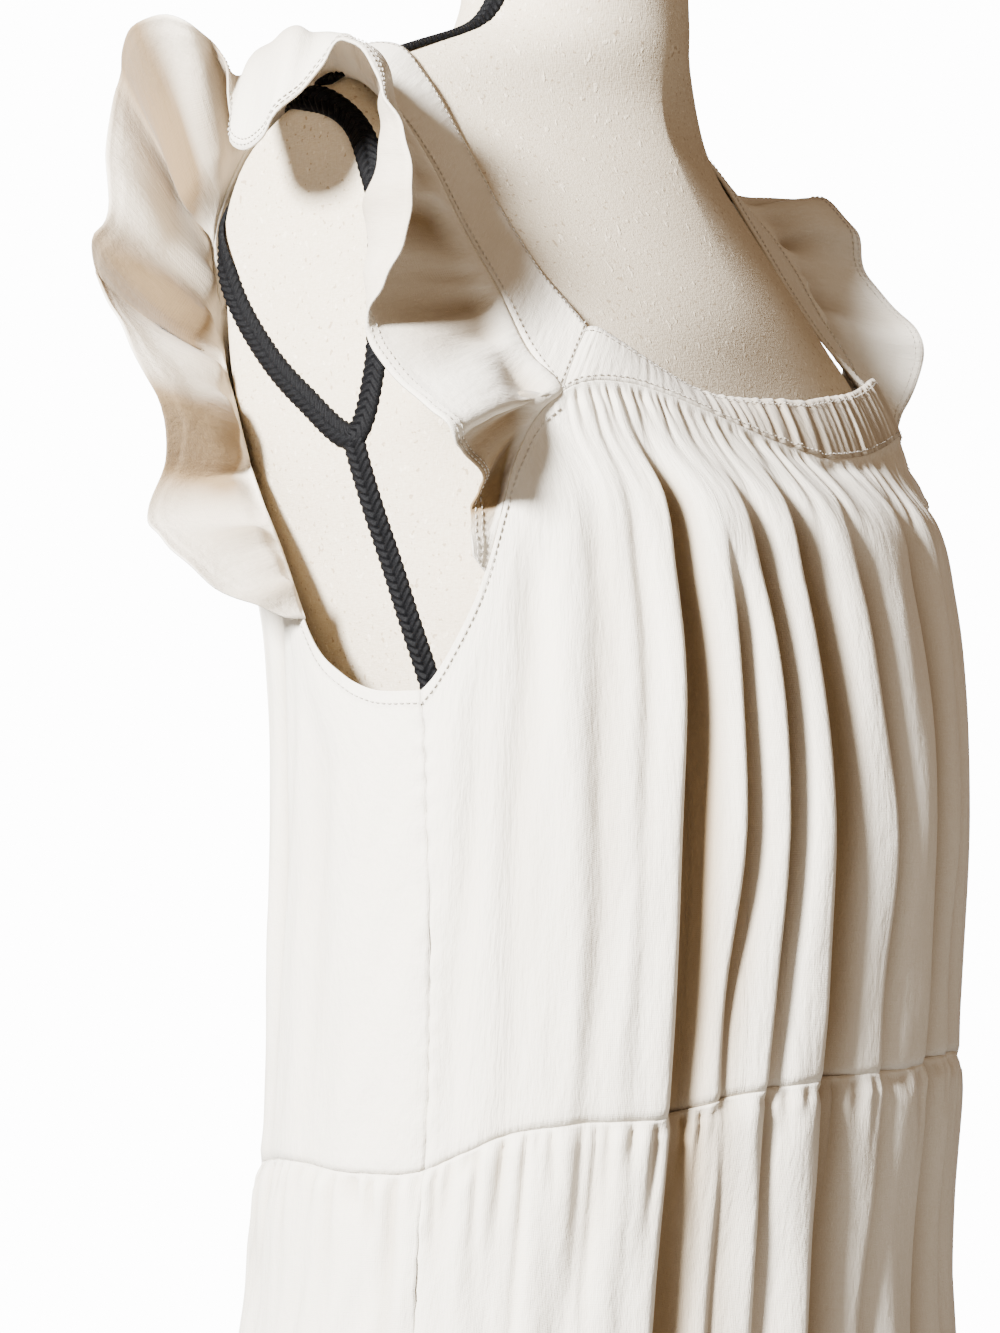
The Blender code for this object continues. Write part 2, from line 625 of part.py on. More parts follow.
def build_stand():
    round_bar("stand_pole", POLE_RADIUS, BASE_THICK + SEAM, FORM_BOTTOM - SEAM, 24)
    edge = round_bar("stand_base", BASE_RADIUS, 0.0, BASE_THICK, 48).modifiers.new("edge", "BEVEL")
    edge.width = BASE_EDGE
    edge.segments = 1
    edge.limit_method = "ANGLE"


def build_body():
    """The gathered panels and the tiers below them."""
    cloth("front_panel", panel_grid(FRONT_COLUMNS, front_angle, FRONT_TOP, CORNER_SHARE, FRONT_ROWS))
    cloth("back_panel", panel_grid(BACK_COLUMNS, back_angle, BACK_TOP, BACK_CORNER_SHARE, BACK_ROWS))
    for name, shares, angle_of in (("front", FRONT_COLUMNS, front_angle), ("back", BACK_COLUMNS, back_angle)):
        cloth(f"upper_tier_{name}", tier_grid(shares, angle_of, FIRST_SEAM, SECOND_SEAM, UPPER_TIER_ROWS))
        cloth(f"lower_tier_{name}", tier_grid(shares, angle_of, SECOND_SEAM, HEM, LOWER_TIER_ROWS))


def build_neckline():
    """The two neckbands, the straps between them and the ruffles."""
    for name, edges in (("front", front_band_edges()), ("back", back_band_edges())):
        cloth(f"{name}_neckband", np.stack(edges[::-1]))
    inner, outer = (resampled(edge, STRAP_POINTS) for edge in strap_edges())
    strap = np.stack([inner, (inner + outer) / 2, outer])
    for name, side in (("right", -1), ("left", 1)):
        cloth(f"strap_{name}", mirrored(strap, side))
        cloth(f"ruffle_{name}", mirrored(ruffle_grid(side), side))


def main():
    global collection
    for old in list(bpy.data.objects):
        bpy.data.objects.remove(old, do_unlink=True)
    collection = bpy.data.collections.new("tiered_dress")
    bpy.context.scene.collection.children.link(collection)
    build_body()
    build_neckline()
    build_torso()
    build_braids()
    build_stand()


main()
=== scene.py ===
"""The looks of an ivory tiered dress with flutter sleeves, on a canvas dress form with a round-based stand.

The dress faces -Y and the wearer's right is -X. A body angle goes in degrees from the centre front (0)
to the centre back (180), positive on the wearer's left. A share is 0 at a panel's centre, 1 at its side seam.
"""

import math

import bpy
import numpy as np
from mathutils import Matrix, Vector


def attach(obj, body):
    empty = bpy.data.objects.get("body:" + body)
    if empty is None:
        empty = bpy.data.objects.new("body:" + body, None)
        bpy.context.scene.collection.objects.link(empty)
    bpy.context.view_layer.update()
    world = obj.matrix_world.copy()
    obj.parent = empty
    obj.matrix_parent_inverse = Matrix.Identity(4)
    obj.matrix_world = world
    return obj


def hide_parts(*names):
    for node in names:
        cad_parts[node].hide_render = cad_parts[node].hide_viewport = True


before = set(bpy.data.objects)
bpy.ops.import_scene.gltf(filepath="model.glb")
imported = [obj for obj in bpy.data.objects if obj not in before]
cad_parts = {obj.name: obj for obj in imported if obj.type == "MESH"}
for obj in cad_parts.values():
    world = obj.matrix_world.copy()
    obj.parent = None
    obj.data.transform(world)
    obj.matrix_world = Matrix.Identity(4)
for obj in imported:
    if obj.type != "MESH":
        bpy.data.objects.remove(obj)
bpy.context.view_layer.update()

for held in bpy.context.selected_objects:
    held.select_set(False)

# The photo's frame and the view it was taken from
PHOTO_WIDTH, PHOTO_HEIGHT = 1000, 1333
CAMERA_AZIMUTH = math.radians(-56)
CAMERA_DISTANCE = 1.20
CAMERA_HEIGHT = 1.06
SENSOR = 36.0
FOCAL_PIXELS = 2570.0
AXIS_PIXEL = 622.0
HORIZON_PIXEL = 740.0

# Cloth. Lengths are in metres and angles in degrees, here and below.
CLOTH = 0.0010
BAND_CLOTH = 0.0018
THREAD_PITCH = 0.0007
SEAM_TURN = 0.01
SEAM_DITCH = 0.0010
SIDE_SEAM_REACH = 0.25
SIDE_DIP = 0.0011
SIDE_DIP_WIDTH = 0.0035
PANEL_PUFF = 0.0016
PANEL_RIPPLE = 0.0009
TIER_PUFF = 0.0022
TIER_RIPPLE = 0.0011
HEM_WIDTH = 0.006
HEM_RISE = 0.0005

# Stitches, and how far each row of them lies from its edge
STITCH_PITCH = 0.0030
STITCH_LENGTH = 0.0023
STITCH_RADIUS = 0.00028
STITCH_SHOULDER = 0.28
STITCH_STAND = 1.6
HEM_STITCHES = HEM_WIDTH - 0.001
SKIRT_HEM_STITCHES = 2 * HEM_WIDTH - 0.0015
EDGE_STITCHES = 0.0022
SEAM_STITCHES = 0.0030
MITRE_STITCHES = 0.0025

# Creases at a gathered seam: their number, shortest and longest run, depth and width
PANEL_GATHERS = (44, 0.025, 0.16, 0.0026, 0.0078)
PANEL_CREASES = (92, 0.008, 0.030, 0.0011, 0.0042)
UPPER_TIER_GATHERS = (58, 0.012, 0.14, 0.0044, 0.0090)
LOWER_TIER_GATHERS = (70, 0.012, 0.15, 0.0044, 0.0085)
RUFFLE_GATHERS = (46, 0.40, 1.6, 0.0065, 0.0080)

# Neckline and sleeves
CORNER_SHARE = 0.636
BACK_CORNER_SHARE = 0.463
STRAP_INNER_X = 0.120
RUFFLE_FRONT_SHARE = 0.874
RUFFLE_BACK_SHARE = 0.758
RUFFLE_GAP = 0.0004
RUFFLE_RIPPLE = 0.0022
LEFT_LIFT = 0.35
LEFT_BELLY = 0.5
LEFT_FLUTE = 0.4
BAND_CROWN = 0.0008
BAND_RUCHE = 0.00030
STRAP_CROWN = 0.0007
STRAP_PUCKER = 0.00022
ARMHOLE_MIDDLE = np.array([0.0, 0.045, 1.200])
FOLD_SPREAD = 0.5
HEM_WAVES = 15
HEM_WAVE_DEPTH = 0.010

# Dress form
PLATE_X = 0.160
PLATE_BLEND = 0.006
BRAID_WIDTH = 0.0116
BRAID_THICK = 0.0025
BRAID_SUNK = 0.0004
BRAID_STEP = 0.0005
RIB_PITCH = 0.0036
RIB_SLANT = 0.9
RIB_DEPTH = 0.0013
SHOULDER_BRAID_LOW = 1.343
SHOULDER_BRAID_HIGH = 1.440

# Rows and columns of the grids
PANEL_ROWS = 92
BAND_ROWS = 14
STRAP_ROWS = 13
STRAP_COLUMNS = 110
RUFFLE_ROWS = 44
RUFFLE_COLUMNS = 250
TIER_COLUMNS = 340
TORSO_ROWS = 150
TORSO_COLUMNS = 168
BRAID_COLUMNS = 15

# Each light's size, power, colour, place and the point it faces
LIGHTS = {
    "window_light": (0.6, 720.0, (1.0, 1.0, 0.99), (-2.47, 0.10, 2.15), (0, 0, 1.1)),
    "front_fill": (1.0, 18.0, (1.0, 0.84, 0.66), (-1.0, -2.4, 2.0), (0, 0, 1.0)),
    "back_fill": (1.8, 90.0, (1.0, 0.96, 0.90), (1.2, 2.4, 2.0), (0, 0, 1.0)),
}
ROOM_COLOUR, ROOM_STRENGTH = (1.0, 0.64, 0.36, 1), 0.25
BACKDROP_COLOUR, BACKDROP_STRENGTH = (1, 1, 1, 1), 14.0
FLOOR_RADIUS = 2.6
FLOOR_GAP = 0.0005


def table(columns, *rows):
    """A short table as one array for each named column."""
    return dict(zip(columns.split(), map(np.array, zip(*rows))))


DRESS_RINGS = table(
    "height half_width front_depth back_depth front_power back_power",
    (0.270, 0.276, 0.216, 0.236, 2.0, 2.0),
    (0.440, 0.252, 0.190, 0.212, 2.0, 2.0),
    (0.600, 0.228, 0.165, 0.189, 2.0, 2.0),
    (0.720, 0.208, 0.146, 0.169, 2.0, 2.0),
    (0.800, 0.198, 0.138, 0.157, 2.0, 2.0),
    (0.890, 0.190, 0.143, 0.146, 2.0, 2.0),
    (0.960, 0.185, 0.148, 0.148, 2.0, 2.0),
    (1.030, 0.181, 0.154, 0.150, 2.0, 2.0),
    (1.080, 0.179, 0.150, 0.148, 2.1, 2.1),
    (1.127, 0.177, 0.140, 0.150, 2.2, 2.3),
    (1.160, 0.175, 0.129, 0.149, 2.3, 2.7),
    (1.185, 0.174, 0.108, 0.146, 2.4, 3.2),
    (1.205, 0.174, 0.100, 0.144, 2.5, 3.5),
    (1.255, 0.176, 0.086, 0.139, 2.5, 4.0),
    (1.290, 0.178, 0.078, 0.137, 2.5, 4.0),
)
SIDE_SEAM = table("height angle", (0.92, 78.0), (1.00, 79.6), (1.08, 82.4))
FRONT_TOP = table(
    "share height",
    (0.000, 1.184), (0.135, 1.190), (0.234, 1.196), (0.376, 1.204), (0.461, 1.207), (0.636, 1.2014),
    (0.752, 1.182), (0.831, 1.157), (0.874, 1.1275), (0.934, 1.100), (0.980, 1.0843), (1.000, 1.080),
)
BACK_TOP = table(
    "share height",
    (0.000, 1.248), (0.300, 1.250), (0.463, 1.252), (0.540, 1.232), (0.615, 1.2086), (0.693, 1.154),
    (0.758, 1.111), (0.855, 1.087), (0.907, 1.0813), (1.000, 1.080),
)
FIRST_SEAM = table(
    "angle height",
    (0, 0.918), (20, 0.918), (30, 0.9155), (41, 0.9085), (55, 0.907), (66, 0.902), (72, 0.895),
    (78, 0.888), (90, 0.8845), (110, 0.8835), (138, 0.870), (180, 0.865),
)
SECOND_SEAM = table("angle height", (0, 0.606), (78, 0.596), (180, 0.586))
HEM = table("angle height", (0, 0.276), (180, 0.272))

# The largest folds. A valley drops steeply on the wearer's right and rises gently on the left. Its top
# drifts by some degrees, it starts this far down its panel, and its depth in the tiers is this share.
FOLDS = table(
    "angle depth steep gentle drift start low",
    (-74, 0.0030, 2.2, 4.0, 1.0, 0.10, 1.2), (-66, 0.0040, 2.4, 5.0, 1.0, 0.10, 1.0),
    (-54, 0.0050, 2.0, 5.0, 1.0, 0.10, 1.0), (-47, 0.0030, 1.4, 2.6, 0.6, 0.08, 0.8),
    (-40.5, 0.0175, 1.1, 4.8, 1.5, 0.06, 1.4), (-32, 0.0115, 0.9, 3.4, 0.8, 0.22, 0.9),
    (-25, 0.0140, 1.1, 3.2, 0.6, 0.10, 0.8), (-15.5, 0.0175, 1.3, 4.6, -0.5, 0.06, 1.2),
    (-4, 0.0120, 1.1, 3.4, -0.8, 0.10, 0.7), (9.5, 0.0140, 1.3, 4.4, -1.0, 0.04, 1.2),
    (20, 0.0095, 1.2, 3.4, 0.5, 0.16, 0.7), (29, 0.0130, 1.2, 3.8, 0.8, 0.05, 1.2),
    (40, 0.0120, 1.4, 4.0, -1.0, 0.10, 0.8), (52, 0.0045, 2.5, 5.0, -1.0, 0.10, 1.0),
    (66, 0.0030, 3.0, 6.0, 0.0, 0.10, 0.8), (96, 0.0030, 4.0, 6.0, 0.0, 0.10, 1.0),
    (112, 0.0060, 2.0, 5.4, 0.5, 0.10, 0.8), (127, 0.0080, 1.8, 5.0, 1.0, 0.05, 1.2),
    (139, 0.0100, 1.4, 4.4, 0.5, 0.14, 0.8), (151, 0.0090, 1.3, 3.8, -0.6, 0.06, 0.6),
    (163, 0.0120, 1.4, 4.4, -1.0, 0.05, 1.3), (176, 0.0100, 1.2, 3.8, 0.4, 0.16, 0.7),
    (-171, 0.0120, 1.4, 4.4, 1.0, 0.05, 1.1), (-158, 0.0100, 1.3, 3.8, 0.5, 0.10, 0.6),
    (-147, 0.0090, 1.3, 3.8, -0.6, 0.05, 0.9), (-135, 0.0100, 1.6, 4.4, -1.0, 0.12, 1.2),
    (-120, 0.0050, 2.4, 5.4, 0.4, 0.10, 0.7), (-104, 0.0035, 3.0, 6.0, 0.0, 0.10, 1.0),
)

# How much of the folds and waves each level has, from a piece's top to its low edge.
PANEL_FOLDS = table(
    "down fold",
    (0, 0.0), (0.03, 0.15), (0.08, 0.5), (0.15, 0.9), (0.24, 1.0), (0.7, 0.97), (1, 0.5),
)
UPPER_TIER_FOLDS = table(
    "down fold wave",
    (0, 0.45, 0.0), (0.16, 0.52, 0.05), (0.5, 0.6, 0.16), (1, 0.65, 0.3),
)
LOWER_TIER_FOLDS = table("down fold wave", (0, 0.65, 0.3), (0.1, 0.64, 0.37), (1, 0.5, 1.0))

FRONT_BAND = table(
    "share rise back inset",
    (-0.636, 0.0293, 0.0032, 0.0230), (-0.500, 0.0190, 0.0060, 0.0130), (-0.376, 0.0135, 0.0090, 0.0080),
    (-0.234, 0.0125, 0.0125, 0.0050), (-0.100, 0.0200, 0.0130, 0.0020), (0.000, 0.0264, 0.0130, 0.0000),
    (0.234, 0.0270, 0.0110, -0.0060), (0.461, 0.0270, 0.0080, -0.0140), (0.636, 0.0293, 0.0032, -0.0230),
)
BACK_BAND = table(
    "share rise back inset",
    (-0.463, 0.0270, 0.0060, 0.0260), (0.000, 0.0280, -0.0020, 0.0000), (0.463, 0.0270, 0.0060, -0.0260),
)
STRAP = table(
    "inner_y inner_z outer_x outer_y outer_z",
    (-0.0530, 1.2430, 0.1470, -0.0539, 1.2190),
    (-0.0420, 1.2549, 0.1500, -0.0409, 1.2443),
    (-0.0185, 1.2869, 0.1500, -0.0206, 1.2750),
    (0.0040, 1.3225, 0.1500, -0.0045, 1.3022),
    (0.0220, 1.3500, 0.1500, 0.0170, 1.3290),
    (0.0360, 1.3650, 0.1500, 0.0360, 1.3450),
    (0.0550, 1.3690, 0.1500, 0.0560, 1.3490),
    (0.0780, 1.3600, 0.1500, 0.0800, 1.3410),
    (0.1030, 1.3380, 0.1500, 0.1040, 1.3180),
    (0.1230, 1.3080, 0.1500, 0.1190, 1.2880),
)

# The ruffle's free edge, a row for each crest, trough or turn, and the seam share it hangs from.
RUFFLE_EDGE = table(
    "seam x y left_y z belly lift",
    (0.000, 0.1760, -0.0465, -0.0465, 1.1340, 0.000, 0.000),
    (0.060, 0.1800, -0.0484, -0.0410, 1.1516, 0.000, 0.000),
    (0.120, 0.1980, -0.0646, -0.0470, 1.1709, 0.002, 0.000),
    (0.170, 0.2100, -0.0518, -0.0420, 1.1880, -0.004, 0.000),
    (0.215, 0.2160, -0.0264, -0.0264, 1.2160, -0.006, 0.002),
    (0.265, 0.2220, -0.0367, -0.0367, 1.2401, 0.022, 0.002),
    (0.310, 0.2150, -0.0469, -0.0469, 1.2672, 0.028, 0.004),
    (0.370, 0.2080, -0.0328, -0.0150, 1.3074, 0.010, 0.007),
    (0.405, 0.2000, -0.0160, -0.0130, 1.3293, -0.004, 0.010),
    (0.440, 0.1960, 0.0060, 0.0060, 1.3480, -0.003, 0.010),
    (0.465, 0.1980, 0.0170, 0.0170, 1.3372, -0.002, 0.017),
    (0.515, 0.2050, 0.0395, 0.0395, 1.3097, -0.002, 0.038),
    (0.550, 0.2000, 0.0628, 0.0628, 1.3121, 0.000, 0.036),
    (0.580, 0.1900, 0.0740, 0.0740, 1.3477, 0.000, 0.012),
    (0.620, 0.1880, 0.0986, 0.0986, 1.3665, 0.000, 0.004),
    (0.650, 0.1974, 0.1215, 0.1215, 1.3702, 0.000, 0.004),
    (0.680, 0.2000, 0.1343, 0.1343, 1.3578, 0.000, 0.004),
    (0.715, 0.2100, 0.1289, 0.1289, 1.3163, -0.006, 0.000),
    (0.745, 0.1970, 0.1351, 0.1351, 1.2832, 0.000, 0.000),
    (0.770, 0.2200, 0.1288, 0.1288, 1.2678, 0.006, 0.000),
    (0.800, 0.2150, 0.1161, 0.1161, 1.2418, 0.000, 0.000),
    (0.848, 0.1930, 0.1050, 0.1050, 1.1970, -0.005, 0.000),
    (0.885, 0.2100, 0.1035, 0.1035, 1.1633, 0.004, 0.000),
    (0.920, 0.2080, 0.0920, 0.0920, 1.1417, 0.004, 0.000),
    (0.960, 0.1950, 0.0663, 0.0663, 1.1207, 0.000, 0.000),
    (1.000, 0.1790, 0.0500, 0.0500, 1.1120, 0.000, 0.000),
)

# How far each flute of a ruffle stands out or falls in at its free edge, and how much painted shade it gets
# where it turns away from the light
RUFFLE_FLUTES = table(
    "seam out shade",
    (0.000, 0.000, 0.10), (0.030, 0.000, 0.35), (0.065, -0.008, 0.80), (0.095, -0.010, 0.90),
    (0.130, 0.010, 0.10), (0.190, 0.004, 0.00), (0.240, -0.006, 0.08), (0.300, -0.003, 0.12),
    (0.360, 0.002, 0.12), (0.400, 0.002, 0.05), (0.440, 0.000, 0.00), (0.515, 0.003, 0.00),
    (0.560, -0.004, 0.15), (0.580, -0.002, 0.35), (0.600, 0.000, 0.65), (0.617, 0.020, 0.00),
    (0.630, 0.020, 0.00), (0.645, 0.010, 0.70), (0.685, -0.022, 0.60), (0.708, -0.012, 0.10),
    (0.735, 0.012, 0.10), (0.752, 0.022, 0.60), (0.775, -0.020, 0.60), (0.795, -0.012, 0.05),
    (0.818, 0.012, 0.10), (0.838, 0.022, 0.80), (0.872, -0.020, 0.70), (0.900, -0.006, 0.10),
    (0.930, 0.008, 0.00), (0.970, 0.002, 0.00), (1.000, 0.000, 0.00),
)

FORM_RINGS = table(
    "height half_width front_depth back_depth centre front_power back_power",
    (0.700, 0.148, 0.106, 0.110, 0.000, 2.1, 2.1),
    (0.712, 0.157, 0.114, 0.119, 0.000, 2.1, 2.1),
    (0.780, 0.163, 0.118, 0.124, 0.000, 2.1, 2.1),
    (0.860, 0.152, 0.108, 0.116, 0.000, 2.1, 2.1),
    (0.960, 0.119, 0.090, 0.092, 0.000, 2.1, 2.1),
    (1.040, 0.134, 0.116, 0.106, 0.000, 2.1, 2.1),
    (1.080, 0.145, 0.128, 0.114, 0.000, 2.1, 2.4),
    (1.110, 0.150, 0.129, 0.121, 0.002, 2.1, 2.8),
    (1.150, 0.155, 0.121, 0.119, 0.012, 2.1, 3.2),
    (1.190, 0.166, 0.122, 0.101, 0.032, 2.1, 3.1),
    (1.220, 0.182, 0.124, 0.088, 0.045, 2.6, 2.6),
    (1.250, 0.192, 0.122, 0.079, 0.052, 2.0, 2.4),
    (1.290, 0.194, 0.105, 0.075, 0.055, 1.6, 2.4),
    (1.320, 0.181, 0.089, 0.066, 0.054, 1.4, 2.2),
    (1.340, 0.161, 0.076, 0.060, 0.050, 1.3, 1.7),
    (1.357, 0.134, 0.067, 0.055, 0.044, 1.3, 1.5),
    (1.370, 0.104, 0.062, 0.053, 0.038, 1.45, 1.6),
    (1.384, 0.073, 0.058, 0.052, 0.032, 1.7, 1.8),
    (1.400, 0.060, 0.054, 0.052, 0.028, 2.0, 2.0),
    (1.430, 0.054, 0.053, 0.053, 0.026, 2.0, 2.0),
    (1.470, 0.053, 0.053, 0.053, 0.025, 2.0, 2.0),
)
PLATE_BRAID = table(
    "y z",
    (0.0300, 1.1890), (0.0180, 1.2150), (0.0155, 1.2550), (0.0180, 1.2960), (0.0325, 1.3250),
    (0.0560, 1.3375), (0.0880, 1.3330), (0.1050, 1.3110), (0.1065, 1.2830), (0.0975, 1.2560),
    (0.0790, 1.2290), (0.0575, 1.2080),
)
SIDE_BRAID = table(
    "y z",
    (0.029, 1.187), (0.019, 1.150), (0.008, 1.115), (-0.002, 1.080), (-0.008, 1.040),
    (-0.010, 0.990), (-0.010, 0.930), (-0.010, 0.860), (-0.010, 0.790), (-0.010, 0.725),
)


def smooth(places, values, where):
    """A smooth curve through a table's column, held past its ends."""
    where = np.clip(where, places[0], places[-1])
    slopes = np.gradient(values, places)
    left = np.clip(np.searchsorted(places, where, side="right") - 1, 0, len(places) - 2)
    span = places[left + 1] - places[left]
    part = (where - places[left]) / span
    return (
        values[left] * (1 + 2 * part) * (1 - part) ** 2
        + slopes[left] * span * part * (1 - part) ** 2
        + values[left + 1] * part**2 * (3 - 2 * part)
        - slopes[left + 1] * span * part**2 * (1 - part)
    )


def column(of, name, where):
    """A column of a table, read at a value of its first column."""
    first = next(iter(of.values()))
    return smooth(first, of[name], where)


def unit(vectors):
    return vectors / np.maximum(np.linalg.norm(vectors, axis=-1, keepdims=True), 1e-12)


def ramp(value, low, high):
    """Rises softly from 0 at low to 1 at high."""
    part = np.clip((value - low) / (high - low), 0, 1)
    return part * part * (3 - 2 * part)


def mirrored(points, side):
    return points * np.array([side, 1, 1])


def ring_point(rings, angle, height):
    """A point of a tube that these sections make, at an angle and a height."""
    across, ahead = np.sin(np.radians(angle)), np.cos(np.radians(angle))
    at = {name: column(rings, name, height) for name in rings}
    power = np.where(ahead >= 0, at["front_power"], at["back_power"])
    depth = np.where(ahead >= 0, at["front_depth"], at["back_depth"])
    x = at["half_width"] * np.sign(across) * np.abs(across) ** (2 / power)
    y = at.get("centre", 0) - depth * np.sign(ahead) * np.abs(ahead) ** (2 / power)
    return np.stack([x, y, height + 0 * x], axis=-1)


def outward(angle, height):
    """The dress tube's level outward direction."""
    step = ring_point(DRESS_RINGS, angle + 1.5, height) - ring_point(DRESS_RINGS, angle - 1.5, height)
    return unit(np.stack([step[..., 1], -step[..., 0], 0 * step[..., 0]], axis=-1))


def distances(points):
    """How far along its path each point lies."""
    return np.concatenate([[0], np.cumsum(np.linalg.norm(np.diff(points, axis=0), axis=1))])


def resampled(points, count):
    """The same path with evenly spaced points."""
    length = distances(points)
    where = np.linspace(0, length[-1], count)
    return np.stack([smooth(length, points[:, axis], where) for axis in range(3)], axis=-1)


def path_length(points):
    return float(np.linalg.norm(np.diff(points, axis=0), axis=1).sum())


def by_steps(points):
    """A path with a point for each step along a braid."""
    return resampled(points, int(path_length(points) / BRAID_STEP))


def grid_normals(grid):
    return unit(np.cross(np.gradient(grid, axis=1), -np.gradient(grid, axis=0)))


def inset(grid, distance):
    """The points and normals of a sheet that lie this far from its first row."""
    steps = np.linalg.norm(np.diff(grid, axis=0), axis=-1)
    length = np.vstack([0 * steps[:1], np.cumsum(steps, axis=0)])
    each = np.arange(grid.shape[1])
    row = np.array([np.interp(distance, length[:, place], np.arange(len(grid))) for place in each])
    upper = np.minimum(row.astype(int), len(grid) - 2)
    part = (row - upper)[:, None]
    found = [of[upper, each] * (1 - part) + of[upper + 1, each] * part for of in (grid, grid_normals(grid))]
    return found[0], unit(found[1])


class Wire:
    """A shader socket that works in Python expressions."""

    def __init__(self, finish, socket):
        self.finish = finish
        self.socket = socket

    def math(self, operation, *values):
        return self.finish.node("ShaderNodeMath", {"operation": operation}, values)

    def __add__(self, other):
        return self.math("ADD", self, other)

    def __sub__(self, other):
        return self.math("SUBTRACT", self, other)

    def __rsub__(self, other):
        return self.math("SUBTRACT", other, self)

    def __mul__(self, other):
        return self.math("MULTIPLY", self, other)

    __radd__ = __add__
    __rmul__ = __mul__

    def between(self, low, high):
        """Rises softly from 0 at low to 1 at high."""
        return self.finish.node(
            "ShaderNodeMapRange",
            {"interpolation_type": "SMOOTHSTEP"},
            {"Value": self, "From Min": low, "From Max": high, "To Min": 0.0, "To Max": 1.0},
        )

    def scaled(self, *sizes):
        return self.finish.node("ShaderNodeVectorMath", {"operation": "MULTIPLY"}, (self, sizes))


class Finish:
    """A material, and the one way in which its nodes are made."""

    def __init__(self, name, **fixed):
        self.material = bpy.data.materials.new(name)
        self.material.use_nodes = True
        self.tree = self.material.node_tree
        self.shader = self.tree.nodes["Principled BSDF"]
        for socket, value in fixed.items():
            self.shader.inputs[socket.replace("_", " ")].default_value = value

    def node(self, kind, settings=None, values=(), out=0):
        made = self.tree.nodes.new(kind)
        for name, value in (settings or {}).items():
            setattr(made, name, value)
        for place, value in values.items() if isinstance(values, dict) else enumerate(values):
            self.feed(made.inputs[place], value)
        return Wire(self, made.outputs[out])

    def feed(self, socket, value):
        if isinstance(value, Wire):
            self.tree.links.new(value.socket, socket)
        else:
            socket.default_value = value

    def mixed(self, share, first, second):
        return self.node("ShaderNodeMix", {"data_type": "RGBA"}, {0: share, 6: first, 7: second}, out=2)

    def noise(self, where, scale, detail=2.0, roughness=0.5):
        values = {"Vector": where, "Scale": scale, "Detail": detail, "Roughness": roughness}
        return self.node("ShaderNodeTexNoise", None, values)

    def bump(self, height, distance, strength=1.0, over=None):
        values = {"Height": height, "Distance": distance, "Strength": strength}
        if over:
            values["Normal"] = over
        return self.node("ShaderNodeBump", None, values)

    def wear(self, **varying):
        for socket, wire in varying.items():
            self.feed(self.shader.inputs[socket.replace("_", " ")], wire)
        return self.material


def cloth_finish(name, lit, painted_shade_colour, tone):
    """Fine soft cloth: threads, slubs and crinkle on its own cut, with painted shade: darker and browner
    where its piece's painted shade attribute is high.
    """
    finish = Finish(name, Roughness=0.86, Sheen_Weight=0.12, Sheen_Roughness=0.5, Specular_IOR_Level=0.25)
    cut = finish.node("ShaderNodeUVMap", {"uv_map": "cut"})
    painted_shade = finish.node("ShaderNodeAttribute", {"attribute_name": "painted_shade"}, out="Fac")
    across = finish.node("ShaderNodeSeparateXYZ", None, (cut,), out="X")
    down = finish.node("ShaderNodeSeparateXYZ", None, (cut,), out="Y")
    threads = 2 * math.pi / THREAD_PITCH
    warp, weft = (along.math("SINE", along * threads) for along in (across, down))
    slubs = finish.noise(cut.scaled(1400, 90, 1), 1.0) + finish.noise(cut.scaled(90, 1400, 1), 1.0)
    crinkle = finish.noise(cut.scaled(210, 60, 1), 1.0, 4.0, 0.6)
    cloud = finish.noise(cut.scaled(22, 8, 1), 1.0, 3.0)
    worn = (slubs - 0.75).between(0.0, 0.6) * 0.35 + cloud.between(0.35, 0.75) * 0.3
    # Painted shade: the colour turns to the painted shade colour where the attribute is high, standing in for
    # the shade in folds and creases.
    colour = finish.mixed(painted_shade, finish.mixed(worn, (*lit, 1), (*tone, 1)), (*painted_shade_colour, 1))
    weave = finish.bump(warp * 0.12 + weft * 0.12 + slubs * 0.6, 0.00022, 0.6)
    return finish.wear(Base_Color=colour, Normal=finish.bump(crinkle, 0.0016, 0.55, over=weave))


def canvas_finish():
    """Natural canvas: a plain weave with seed flecks and pale nubs."""
    finish = Finish("form_canvas", Roughness=0.92, Specular_IOR_Level=0.2)
    where = finish.node("ShaderNodeTexCoord", out="Object")
    grain = finish.noise(where.scaled(1500, 1500, 420), 1.0) + finish.noise(where.scaled(420, 420, 1500), 1.0)
    flecks = finish.noise(where, 420.0, 1.0).between(0.66, 0.72)
    nubs = finish.noise(where.scaled(1, 1, 0.7), 300.0, 1.0).between(0.64, 0.74)
    cloud = finish.noise(where, 12.0, 3.0)
    colour = finish.mixed(cloud.between(0.3, 0.7) * 0.4, (0.56, 0.49, 0.385, 1), (0.50, 0.425, 0.32, 1))
    colour = finish.mixed(grain.between(0.7, 1.3) * 0.5, colour, (0.42, 0.335, 0.23, 1))
    colour = finish.mixed(nubs * 0.6, colour, (0.68, 0.60, 0.48, 1))
    colour = finish.mixed(flecks * 0.6, colour, (0.24, 0.17, 0.10, 1))
    return finish.wear(Base_Color=colour, Normal=finish.bump(grain * 0.5 + nubs * 0.4, 0.0005, 0.8))


def gimp_finish():
    """Black gimp cord with a low sheen."""
    finish = Finish("black_gimp", Roughness=0.55, Specular_IOR_Level=0.06)
    where = finish.node("ShaderNodeTexCoord", out="Object")
    thread = finish.noise(where, 2600.0, 1.0)
    pale = thread.between(0.4, 0.7) * 0.6
    colour = finish.mixed(pale, (0.0016, 0.0016, 0.0019, 1), (0.0060, 0.0060, 0.0070, 1))
    return finish.wear(Base_Color=colour, Normal=finish.bump(thread, 0.0004, 0.7))


